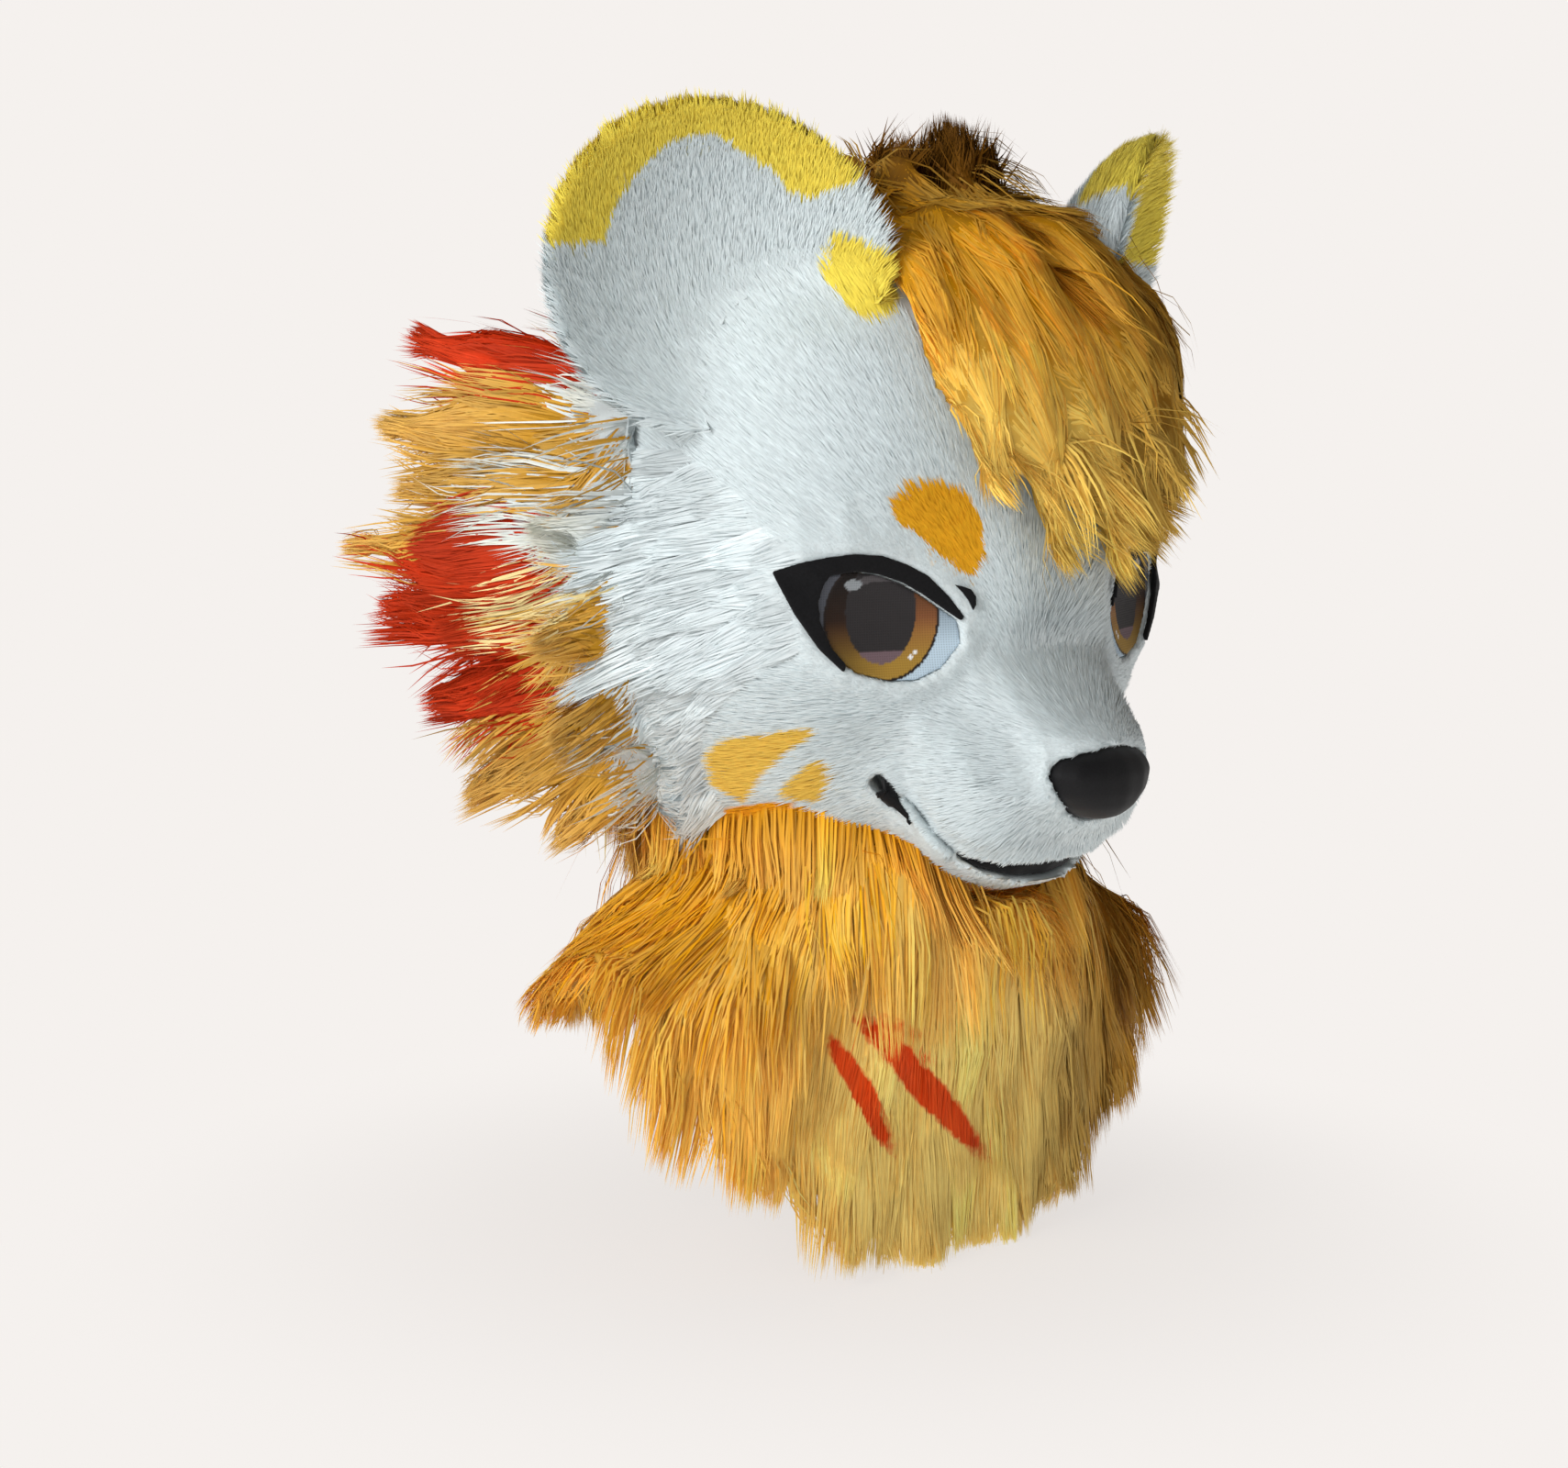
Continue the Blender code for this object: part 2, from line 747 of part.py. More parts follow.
def hem_height(turn):
    rows = np.array(BIB_HEM, float)
    return np.interp(abs(turn), rows[:, 0], rows[:, 1])


def on_bib(turn, share, lift):
    """A point on the bib: turn goes round from the front, share from the neck to the hem."""
    turn = (turn + 180) % 360 - 180
    height = BIB_TOP + (hem_height(turn) - BIB_TOP) * share
    width, front, back = (float(column) for column in section_at(BIB_SECTIONS, height))
    a = math.radians(turn)
    across, along = math.sin(a), -math.cos(a)
    reach = front if along < 0 else back
    power = 2 / (BIB_FRONT_SQUARENESS if along < 0 else BIB_BACK_SQUARENESS)
    x = math.copysign(abs(across) ** power, across) * (width + lift)
    y = math.copysign(abs(along) ** power, along) * (reach + lift)
    return np.array([x, y, height])


def bib_relief(column, share):
    """How far the locks stand off the backing: ridges that thicken down each tier and end in points."""
    tier = min(share, 0.999) * BIB_TIERS
    down = tier - math.floor(tier)
    ridge = (column + math.floor(tier)) % 2
    return BIB_LOCK_RISE * (BIB_TIER_TOP + (1 - BIB_TIER_TOP) * down) * (1.0 if ridge else BIB_HOLLOW)


def bib_form():
    outer, inner = [], []
    for row in range(BIB_ROWS + 1):
        share = row / BIB_ROWS
        turns = [360 * column / BIB_COLUMNS for column in range(BIB_COLUMNS)]
        ring = [on_bib(turn, share, bib_relief(column, share)) for column, turn in enumerate(turns)]
        if row == BIB_ROWS:
            for column, point in enumerate(ring):
                point[2] += BIB_LOCK_POINT * (-1 if column % 2 else 1) * 0.5
        outer.append(ring)
        if row % BIB_INNER_STEP == 0:
            inner.append([on_bib(turn, share, -BIB_WALL) for turn in turns])
    rings = inner + outer[::-1]
    points = [tuple(point) for ring in rings for point in ring]
    faces = []
    for row in range(len(rings)):
        below = (row + 1) % len(rings)
        for i in range(BIB_COLUMNS):
            j = (i + 1) % BIB_COLUMNS
            base, low = row * BIB_COLUMNS, below * BIB_COLUMNS
            faces.append((base + i, base + j, low + j, low + i))
    return points, faces


def build():
    clear_scene()
    white = make_material("white_fur", (0.66, 0.76, 0.78), 0.9)
    orange = make_material("orange_fur", (0.60, 0.25, 0.03), 0.85)
    gold = make_material("gold_fur", (0.62, 0.40, 0.11), 0.85)
    yellow = make_material("yellow_fur", (0.64, 0.52, 0.07), 0.9)
    black = make_material("black_felt", (0.01, 0.01, 0.012), 0.7)
    mesh_print = make_material("printed_mesh", (0.30, 0.14, 0.04), 0.5)

    head = make_piece("head_shell", head_form(), white)
    head_room = make_cutter("head_room", head_form(GAP))
    carve(head, make_cutter("hollow_cutter", hollow_form()))
    carve(head, make_cutter("nose_room", nose_form(GAP)), make_cutter("mouth_room", mouth_form(MOUTH_START, MOUTH_DEPTH)))
    make_piece("nose", nose_form(), black)
    make_piece("mouth_lining", mouth_form(LINING_SETBACK, LINING_SETBACK + LINING_DEPTH, LINING_MARGIN), black)

    ear_rooms = []
    for side, word in ((1, "left"), (-1, "right")):
        carve(head, make_cutter("eye_room_" + word, eye_prism(-GAP / 2, *EYE_CUT), side))
        carve(head, make_cutter("liner_room_" + word, liner_form(GAP, EDGE_OVERHANG), side))
        make_piece("eye_panel_" + word, panel_form(), mesh_print, side)
        make_piece("eyeliner_" + word, liner_form(), black, side)
        ear = make_piece("ear_" + word, ear_form(), yellow, side)
        carve(ear, head_room)
        ear_rooms.append(make_cutter("ear_room_" + word, ear_form(GAP), side))
    settle(head)

    bib = make_piece("bib", bib_form(), gold)
    carve(bib, head_room)

    back = make_piece("back_fur", back_form(), orange)
    carve(back, head_room)
    back_room = make_cutter("back_room", back_form(GAP))

    locks = [hugging_lock(*row) for row in FORELOCK_LOCKS]
    locks += [standing_lock(az, el, (x, y, z), width) for az, el, x, y, z, width in CROWN_LOCKS]
    backings = [cap_form(*row) for row in FORELOCK_CAPS]
    forelock = fur_piece("forelock", backings, locks, FORELOCK_FACES, orange)
    carve(forelock, head_room, back_room, *ear_rooms, solver="MANIFOLD")
    settle(forelock)

    for side, word in ((1, "left"), (-1, "right")):
        locks = [standing_lock(az, el, (x, y, z), width) for az, el, x, y, z, width in CHEEK_LOCKS]
        fluff = fur_piece("cheek_fluff_" + word, [cap_form(*CHEEK_CAP)], locks, CHEEK_FACES, gold, side)
        carve(fluff, head_room, back_room, ear_rooms[0 if side > 0 else 1], solver="MANIFOLD")
        settle(fluff)


build()
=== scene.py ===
# %% [markdown]
# # A kemono fursuit head, dressed in fur
#
# The solids of this head come from another script and are loaded as a fixed frame. This script gives them
# their looks: a soft skin for each furred piece, some hundred thousand fibres planted on those skins, felt
# for the lids, printed mesh for the eyes, and a padded nose.

import math

import bpy
import numpy as np
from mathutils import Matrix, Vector
from mathutils.bvhtree import BVHTree
from mathutils.kdtree import KDTree


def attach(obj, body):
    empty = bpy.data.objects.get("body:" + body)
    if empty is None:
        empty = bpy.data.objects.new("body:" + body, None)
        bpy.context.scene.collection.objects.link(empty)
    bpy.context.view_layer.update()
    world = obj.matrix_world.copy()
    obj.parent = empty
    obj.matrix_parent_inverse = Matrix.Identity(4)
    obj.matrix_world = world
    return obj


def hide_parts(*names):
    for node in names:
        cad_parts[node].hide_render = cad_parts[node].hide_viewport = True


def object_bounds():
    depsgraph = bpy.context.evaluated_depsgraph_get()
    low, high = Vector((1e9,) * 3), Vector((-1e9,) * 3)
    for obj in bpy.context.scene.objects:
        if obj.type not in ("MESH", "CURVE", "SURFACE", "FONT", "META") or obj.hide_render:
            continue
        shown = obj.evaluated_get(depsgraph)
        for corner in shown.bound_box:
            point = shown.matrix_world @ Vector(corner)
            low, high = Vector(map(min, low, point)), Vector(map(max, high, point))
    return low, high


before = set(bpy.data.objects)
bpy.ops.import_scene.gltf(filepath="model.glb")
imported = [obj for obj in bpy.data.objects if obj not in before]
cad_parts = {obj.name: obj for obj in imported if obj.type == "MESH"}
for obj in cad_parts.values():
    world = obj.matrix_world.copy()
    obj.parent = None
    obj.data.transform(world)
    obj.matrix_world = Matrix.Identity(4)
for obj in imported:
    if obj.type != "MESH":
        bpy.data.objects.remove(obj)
cad_box = [list(corner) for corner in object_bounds()]
bpy.ops.object.select_all(action="DESELECT")
print("solids:", sorted(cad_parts))

# %% [markdown]
# ## Camera
#
# The camera stands about 1.4 m away, a little above the chin and turned to the head's right side, so that
# both ears, the near eye and the whole muzzle show. A long lens keeps the head's proportions.

# %% Camera
CAMERA_TURN = math.radians(-45)
CAMERA_RISE = math.radians(7)
CAMERA_DISTANCE = 1.411
LENS_LENGTH = 69.26
CAMERA_AIM = Vector((-0.0202, 0.0202, -0.219))


def direction(turn, rise):
    """A direction away from the head: turn is round it, from its face towards its left, and rise upwards."""
    return math.sin(turn) * math.cos(rise), -math.cos(turn) * math.cos(rise), math.sin(rise)


def look_from(obj, towards):
    """Turns a camera or a lamp to face back along a direction."""
    obj.rotation_mode = "QUATERNION"
    obj.rotation_quaternion = (-towards).to_track_quat("-Z", "Y")


towards_camera = Vector(direction(CAMERA_TURN, CAMERA_RISE))
bpy.ops.object.camera_add(location=CAMERA_AIM + towards_camera * CAMERA_DISTANCE)
camera = bpy.context.object
look_from(camera, towards_camera)
camera.data.sensor_width = 36
camera.data.lens = LENS_LENGTH
bpy.context.scene.camera = camera
bpy.context.scene.view_settings.view_transform = "Standard"
print("camera at", [round(v, 3) for v in camera.location])

# %% [markdown]
# ## Colours
#
# Colours are easiest to choose as they look on a screen, from 0 to 255. Blender's shaders reckon in linear
# light, so one small function turns the one into the other, for single colours and for whole arrays.


# %% Screen colours to linear light
def linear(colour):
    """A screen colour, 0 to 255, in linear light."""
    share = np.asarray(colour, float) / 255
    return np.where(share <= 0.04045, share / 12.92, ((share + 0.055) / 1.055) ** 2.4)


WHITE_FUR = (226, 236, 238)
EAR_YELLOW = (250, 230, 92)
SPOT_ORANGE = (240, 180, 34)
STRIPE_GOLD = (244, 206, 92)
HAIR_ORANGE = (248, 172, 18)
HAIR_GOLD = (252, 218, 112)
HAIR_DARK = (140, 92, 22)
TUFT_RED = (196, 44, 2)
TUFT_YELLOW = (214, 156, 40)
TUFT_PALE = (248, 226, 160)
BIB_ORANGE = (250, 174, 20)
BIB_GOLD = (252, 222, 128)
FELT_BLACK = (14, 14, 16)


def between(first, second, share):
    """What lies between two linear colours or places. share, from 0 to 1, is how much is the second."""
    return first * (1 - share) + second * share


print("white fur in linear light:", linear(WHITE_FUR).round(3))

# %% [markdown]
# ## Light and floor
#
# Two big soft lamps light the head from the camera's side, one far round and one beside the camera. A weak
# one stands above and behind, and a dim pale room is all round. The floor is a plain disc that fades into
# the room's colour, so that no horizon cuts behind the head.


# %% Lamps
def soft_lamp(name, turn, rise, distance, size, power):
    """A square lamp that faces the head, from a direction in degrees."""
    towards = Vector(direction(math.radians(turn), math.radians(rise)))
    bpy.ops.object.light_add(type="AREA", location=CAMERA_AIM + towards * distance)
    lamp = bpy.context.object
    lamp.name = name
    lamp.data.size = size
    lamp.data.energy = power
    look_from(lamp, towards)


soft_lamp("key_lamp", -82, 26, 1.8, 0.9, 19)
soft_lamp("front_lamp", -54, 6, 2.2, 1.2, 14)
soft_lamp("back_lamp", -160, 45, 2.0, 1.0, 1.8)


# %% Shader nodes
def set_inputs(node, values):
    """Sets the values of a shader node's inputs."""
    for key, value in values.items():
        node.inputs[key].default_value = value


def add_node(nodes, kind, inputs=(), **settings):
    """Adds a shader node with these settings, and then these values on its inputs."""
    node = nodes.new("ShaderNode" + kind)
    for key, value in settings.items():
        setattr(node, key, value)
    set_inputs(node, dict(inputs))
    return node


def wire(links, *pairs):
    """Joins outputs to inputs, each pair given as a node and its socket, twice."""
    for source, output, target, entry in pairs:
        links.new(source.outputs[output], target.inputs[entry])


def new_material(name, inputs):
    """A material whose shader has these values, with its nodes, its links and its shader."""
    material = bpy.data.materials.new(name)
    material.use_nodes = True
    nodes, links = material.node_tree.nodes, material.node_tree.links
    shader = nodes["Principled BSDF"]
    set_inputs(shader, inputs)
    return material, nodes, links, shader


# %% Room
ROOM_PALE = tuple(linear((245, 241, 238))) + (1,)
room = bpy.data.worlds.new("pale_room")
bpy.context.scene.world = room
room.use_nodes = True
nodes, links = room.node_tree.nodes, room.node_tree.links
lit = nodes["Background"]
set_inputs(lit, {"Color": ROOM_PALE, "Strength": 0.07})
seen = add_node(nodes, "Background", {"Color": ROOM_PALE})
choose = add_node(nodes, "MixShader")
path = add_node(nodes, "LightPath")
wire(
    links,
    (path, "Is Camera Ray", choose, "Fac"),
    (lit, 0, choose, 1),
    (seen, 0, choose, 2),
    (choose, 0, nodes["World Output"], "Surface"),
)
print("room:", room.name)

# %% Floor
# the floor lies a little below the solids, to clear the ends of the fibres
FLOOR_GAP = 0.006
FLOOR_Z = cad_box[0][2] - FLOOR_GAP
bpy.ops.mesh.primitive_circle_add(vertices=96, radius=6, fill_type="TRIFAN", location=(0, 0, FLOOR_Z))
floor = bpy.context.object
floor.name = "floor"
bpy.ops.object.transform_apply(location=True, rotation=True, scale=True)
floor_paint, nodes, links, shader = new_material("pale_floor", {"Base Color": ROOM_PALE, "Roughness": 0.9})
glow = add_node(nodes, "Emission", {"Color": ROOM_PALE})
place = add_node(nodes, "TexCoord")
reach = add_node(nodes, "VectorMath", operation="LENGTH")
fade = add_node(nodes, "MapRange", {"From Min": 0.12, "From Max": 0.6}, interpolation_type="SMOOTHSTEP")
blend = add_node(nodes, "MixShader")
wire(
    links,
    (place, "Object", reach, 0),
    (reach, "Value", fade, "Value"),
    (fade, "Result", blend, "Fac"),
    (shader, 0, blend, 1),
    (glow, 0, blend, 2),
    (blend, 0, nodes["Material Output"], "Surface"),
)
floor.data.materials.append(floor_paint)
print("floor at", round(FLOOR_Z, 3))

# %% [markdown]
# ## Materials for fur and felt
#
# Fur has no gloss of its own, but short pile catches light along its edge. A rough shader with a little
# sheen gives that, and long hair does without the sheen. The colour comes from an attribute that each fibre
# carries, darkened at the root by painted shade and full at the tip, and a fine noise makes some places
# paler than others.


# %% Fur material
def fur_material(name, sheen, roughness):
    """A rough, slightly sheeny material in the colour that the fibres carry."""
    material, nodes, links, shader = new_material(name, {
        "Roughness": roughness, "Specular IOR Level": 0.1, "Sheen Weight": sheen, "Sheen Roughness": 0.5,
    })
    carried = add_node(nodes, "Attribute", attribute_name="fur_colour")
    place = add_node(nodes, "TexCoord")
    speckle = add_node(nodes, "TexNoise", {"Scale": 260, "Detail": 3})
    span = add_node(nodes, "MapRange", {"To Min": 0.9, "To Max": 1.08})
    tone = add_node(nodes, "Mix", {"Factor": 1}, data_type="RGBA", blend_type="MULTIPLY")
    wire(
        links,
        (place, "Object", speckle, "Vector"),
        (speckle, "Fac", span, "Value"),
        (carried, "Color", tone, "A"),
        (span, "Result", tone, "B"),
        (tone, "Result", shader, "Base Color"),
    )
    return material


pile_finish = fur_material("short_pile", sheen=0.08, roughness=0.7)
hair_finish = fur_material("long_hair", sheen=0.0, roughness=0.6)
print("fur finishes:", pile_finish.name, hair_finish.name)


# %% Felt material
def felt_material(name, colour, roughness=0.9, sheen=0.06, grain=900, depth=0.25):
    """Matt cloth with a fine matted surface."""
    material, nodes, links, shader = new_material(name, {
        "Roughness": roughness, "Specular IOR Level": 0.2, "Sheen Weight": sheen,
    })
    place = add_node(nodes, "TexCoord")
    matting = add_node(nodes, "TexNoise", {"Scale": grain, "Detail": 4})
    shades = add_node(nodes, "ValToRGB")
    for stop, position, strength in zip(shades.color_ramp.elements, (0.3, 0.75), (0.7, 1.5)):
        stop.position = position
        stop.color = (*(linear(colour) * strength), 1)
    bump = add_node(nodes, "Bump", {"Strength": depth, "Distance": 0.0004})
    wire(
        links,
        (place, "Object", matting, "Vector"),
        (matting, "Fac", shades, "Fac"),
        (shades, "Color", shader, "Base Color"),
        (matting, "Fac", bump, "Height"),
        (bump, "Normal", shader, "Normal"),
    )
    return material


felt_finish = felt_material("black_felt", FELT_BLACK)
print("felt finish:", felt_finish.name)

# %% [markdown]
# ## A soft skin under the fur
#
# Fur cloth has a backing that the fibres stand on. Each furred solid is copied, its doubles are merged, and
# a voxel remesh with a smooth pass turns the facets into one even soft skin. The skin then sinks by a few
# millimetres, so that the tips of the fibres end near the solid's own surface.


# %% Skins from the solids
# a material's name for each piece of fur, by how the piece's name begins
FUR_SLOTS = {
    "head": "white_fur", "lip": "white_fur", "cheek_hair": "white_fur", "ear": "ear_fur",
    "cheek_tuft": "cheek_fur", "cheek_fluff": "cheek_fur", "forelock": "orange_fur", "crown": "orange_fur",
    "back": "orange_fur", "bib": "gold_fur", "neck": "gold_fur",
}


def name_slot(piece):
    """Goes through the table for a piece of fur's name, and does nothing with what it finds."""
    for start, slot in FUR_SLOTS.items():
        if piece.name.startswith(start):
            return


def select_only(obj):
    """Selects one object, and makes it the active one."""
    bpy.ops.object.select_all(action="DESELECT")
    obj.hide_set(False)
    obj.select_set(True)
    bpy.context.view_layer.objects.active = obj


def merged_copy(node, name):
    """An own copy of a solid, with its doubles merged."""
    select_only(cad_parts[node])
    bpy.ops.object.duplicate()
    copy = bpy.context.object
    copy.name = copy.data.name = name
    for key in list(copy.keys()):
        del copy[key]
    select_only(copy)
    bpy.ops.object.mode_set(mode="EDIT")
    bpy.ops.mesh.select_all(action="SELECT")
    bpy.ops.mesh.remove_doubles(threshold=0.00002)
    bpy.ops.object.mode_set(mode="OBJECT")
    return copy


def apply_modifier(obj, kind, **settings):
    """Adds a modifier with these settings and applies it."""
    select_only(obj)
    modifier = obj.modifiers.new(kind, kind)
    for key, value in settings.items():
        setattr(modifier, key, value)
    bpy.ops.object.modifier_apply(modifier=modifier.name)


def soften(piece, voxel, smoothing):
    """Remeshes a closed mesh evenly and smooths it."""
    apply_modifier(piece, "REMESH", mode="VOXEL", voxel_size=voxel)
    if smoothing:
        apply_modifier(piece, "SMOOTH", factor=0.5, iterations=smoothing)


def even_sink(depth):
    """A sink that is as deep everywhere."""
    return lambda points, normals: np.full(len(points), depth)


def skin_of(node, sink, voxel=0.003, smoothing=8, keep=0.4, form=None):
    """A soft skin in the place of a solid, or of a form that was made of it. sink gives how deep each point
    goes in, from its place and normal, and keep the share of its faces that is left at the end."""
    skin = form
    if skin is None:
        skin = merged_copy(node, node + "_skin")
        soften(skin, voxel, smoothing)
    points, normals = points_and_normals(skin)
    points = points - normals * sink(points, normals)[:, None]
    skin.data.vertices.foreach_set("co", points.ravel())
    skin.data.update()
    apply_modifier(skin, "DECIMATE", ratio=keep)
    select_only(skin)
    bpy.ops.object.shade_smooth()
    skin.data.materials.clear()
    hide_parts(node)
    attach(skin, "root")
    name_slot(skin)
    print(skin.name, len(skin.data.polygons), "faces")
    return skin


def smooth_where(obj, weights, iterations):
    """Smooths each point by its own weight."""
    group = obj.vertex_groups.new(name="soft")
    for index in np.flatnonzero(weights > 0.01):
        group.add([int(index)], float(weights[index]), "REPLACE")
    apply_modifier(obj, "SMOOTH", factor=0.5, iterations=iterations, vertex_group="soft")
    obj.vertex_groups.clear()


def points_and_normals(obj):
    """The places and the normals of a mesh's points."""
    count = len(obj.data.vertices)
    points, normals = np.empty(count * 3), np.empty(count * 3)
    obj.data.vertices.foreach_get("co", points)
    obj.data.vertex_normals.foreach_get("vector", normals)
    return points.reshape(-1, 3), normals.reshape(-1, 3)


def triangles_of(obj):
    """The three corners of each triangle of a mesh."""
    obj.data.calc_loop_triangles()
    corners = np.empty(len(obj.data.loop_triangles) * 3, dtype=np.int32)
    obj.data.loop_triangles.foreach_get("vertices", corners)
    return corners.reshape(-1, 3)


# %% [markdown]
# ## Planting fibres
#
# A fibre is a narrow ribbon that tapers to a point: one triangle for short pile, and three segments for
# long hair. Thousands of them are made at once from arrays. Roots are spread over the skin by area, each
# fibre starts off the skin and bends over into the flow of its piece, and long fibres draw together towards
# the tips of a few, which gives the pointed locks that real long fur falls into.


# %% Roots
def roots_on(skin, count, seed, keep):
    """Evenly spread places on a skin, with the skin's normals. keep says which of them stay."""
    rng = np.random.default_rng(seed)
    points, normals = points_and_normals(skin)
    corners = triangles_of(skin)
    a, b, c = (points[corners[:, i]] for i in range(3))
    area = np.linalg.norm(np.cross(b - a, c - a), axis=1)
    found_points, found_normals, found = [], [], 0
    while found < count:
        pick = rng.choice(len(corners), size=count * 2, p=area / area.sum())
        u, v = rng.random((2, len(pick)))
        over = u + v > 1
        u[over], v[over] = 1 - u[over], 1 - v[over]
        share = np.stack([1 - u - v, u, v], axis=1)[:, :, None]
        place = (points[corners[pick]] * share).sum(axis=1)
        normal = unit((normals[corners[pick]] * share).sum(axis=1))
        stays = keep(place, normal)
        if not stays.any():
            break
        found_points.append(place[stays])
        found_normals.append(normal[stays])
        found += stays.sum()
    return np.concatenate(found_points)[:count], np.concatenate(found_normals)[:count]


def unit(vectors):
    """The vectors at length 1."""
    return vectors / np.maximum(np.linalg.norm(vectors, axis=-1, keepdims=True), 1e-9)


def dot(first, second):
    """How far each vector goes along its partner."""
    return (first * second).sum(axis=1)


def along_skin(direction, normals):
    """A direction laid flat on the skin."""
    return unit(direction - normals * dot(direction, normals)[:, None])


# %% Combing
# a fibre is past the surface's edge once it has run this share of its gap from the surface, and this much
# more, straight away from it
FREE_SLANT = 0.45
FREE_GAP = 0.0008
# how far away a surface still pushes fibres out
PUSH_REACH = 0.025


def brush(points, normals, flow, length, steps, lift, settle, rng, unrest):
    """The spines of short fibres, each of which leans along its own direction of flow."""
    heading = along_skin(unit(along_skin(flow, normals) + rng.normal(0, unrest, points.shape)), normals)
    spine = [points]
    for k in range(steps):
        rise = lift * (1 - (k + 0.5) / steps * settle)
        leaning = unit(heading + normals * rise + rng.normal(0, unrest * 0.4, points.shape))
        spine.append(spine[-1] + leaning * (length / steps)[:, None])
    return np.stack(spine, axis=1)


def comb(points, normals, flow, length, steps, lift, settle, rng, unrest, tree, over):
    """The spines of long fibres that run along a surface. flow gives the heading at any places, and tree the
    surface. The fibres keep to it and fall freely past its edge, or stand off and are only kept out of it if
    over is true."""
    spine = [points]
    step = length / steps
    free = np.zeros(len(points), dtype=bool)
    drift = rng.normal(0, unrest, points.shape)
    heading = np.zeros_like(points)
    for k in range(steps):
        share = (k + 0.5) / steps
        turned = unit(flow(points))
        if over:
            turned = unit(turned - normals * np.clip(dot(turned, normals), 0, 1)[:, None] * 0.5)
        else:
            turned = along_skin(turned, normals)
        heading = unit(heading + turned + drift)
        rise = 0 if over and k else lift * (1 - share * settle)
        moved = points + unit(heading + normals * rise) * step[:, None]
        height = (lift * step * (k + 1) * (1 - 0.6 * share * settle))[:, None] * 0.75
        found = [tree.find_nearest(Vector(p)) for p in moved]
        base = np.array([hit[0] for hit in found])
        facing = np.array([hit[1] for hit in found])
        away = moved - base
        gap = np.linalg.norm(away, axis=1)
        if over:
            held = (dot(away, facing) < height[:, 0]) & (gap < PUSH_REACH)
        else:
            free |= dot(away, heading) > FREE_SLANT * gap + FREE_GAP
            held = ~free
        points = np.where(held[:, None], base + facing * height, moved)
        normals = np.where(held[:, None], unit(normals * 0.4 + facing * 0.6), normals * (1 if over else 0))
        spine.append(points)
    return np.stack(spine, axis=1)


# %% Fibres
# how soon a fibre's colour comes up from the painted shade at its root
COLOUR_RISE = 2.2
# how much narrower a ribbon would be at its tip, were its last segment not a point
TAPER = 0.45
# how much green a colour needs beside its red to pale towards the tip, so that red fur hardly does
PALE_RISE = 2.2


def plant(name, roots, normals, flow, length, width, colour, finish, seed, lift, root_dark, colour_at=0.6,
          plush=0.5, steps=1, settle=0.0, unrest=0.06, clumps=0, clumping=0.6, locks_share=0.0, tip=WHITE_FUR,
          tip_share=0.0, tree=None, over=False):
    """One mesh of fibres. colour is a function of places. flow is one too if there is a tree of a surface to
    comb them over, and otherwise a direction for each root.

    colour_at is where along a fibre its colour is read, root_dark how bright it starts under the painted
    shade at its root, plush how much the fibres are shaded as one soft surface, and locks_share how many take
    the colour of their whole lock.
    Towards its end a fibre pales to the tip colour by tip_share."""
    rng = np.random.default_rng(seed)
    count = len(roots)
    length = length * rng.uniform(0.8, 1.12, count)
    if tree is None:
        spine = brush(roots, normals, flow, length, steps, lift, settle, rng, unrest)
    else:
        spine = comb(roots, normals, flow, length, steps, lift, settle, rng, unrest, tree, over)
    read = between(spine[:, 0], spine[:, -1], colour_at)
    own_tone = rng.normal(1, 0.04, count)
    if clumps:
        led = gather(spine, clumps, clumping, rng)
        read = np.where((rng.random(count) < locks_share)[:, None], read[led], read)
        own_tone *= rng.normal(1, 0.09, count)[led]
    heading = unit(spine[:, -1] - spine[:, 0])
    shade = colour(read)
    aside = unit(np.cross(heading, normals) + rng.normal(0, 0.22, (count, 3)))
    half = (width * rng.uniform(0.75, 1.25, count) / 2)[:, None]
    rows, fibre_faces = [], []
    for k in range(steps):
        taper = 1 - TAPER * k / steps
        rows += [spine[:, k] - aside * half * taper, spine[:, k] + aside * half * taper]
        if k:
            fibre_faces += [(2 * k - 2, 2 * k - 1, 2 * k + 1), (2 * k - 2, 2 * k + 1, 2 * k)]
    rows.append(spine[:, steps])
    fibre_faces = np.array(fibre_faces + [(2 * steps - 2, 2 * steps - 1, 2 * steps)])
    faces = fibre_faces[None] + (np.arange(count) * len(rows))[:, None, None]
    shares = np.append(np.repeat(np.arange(steps) / steps, 2), 1.0)
    # painted shade: each fibre is darker at its root, where the fibres shade one another
    painted_root_shade = root_dark + (1 - root_dark) * np.clip(shares * COLOUR_RISE, 0, 1)
    tone = own_tone[:, None, None] * painted_root_shade[None, :, None]
    pales = np.clip(shade[:, 1] / np.maximum(shade[:, 0], 0.01) * PALE_RISE, 0, 1)[:, None, None]
    shade = between(shade[:, None], linear(tip), shares[None, :, None] * tip_share * pales)
    points = np.stack(rows, axis=1).reshape(-1, 3)
    obj = mesh_from_arrays(name, points, faces.reshape(-1, 3), (shade * tone).reshape(-1, 3))
    soft = unit(normals * plush + unit(np.cross(aside, heading)) * (1 - plush))
    obj.data.normals_split_custom_set_from_vertices(np.repeat(soft, len(rows), axis=0).tolist())
    fibre_uv(obj, spine[:, 0], shares, fibre_faces, steps)
    obj.data.materials.append(finish)
    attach(obj, "root")
    name_slot(obj)
    print(name, count, "fibres,", len(obj.data.polygons), "faces")


# how near in direction a fibre has to be to its leader to be drawn to it
ALIKE = 0.6


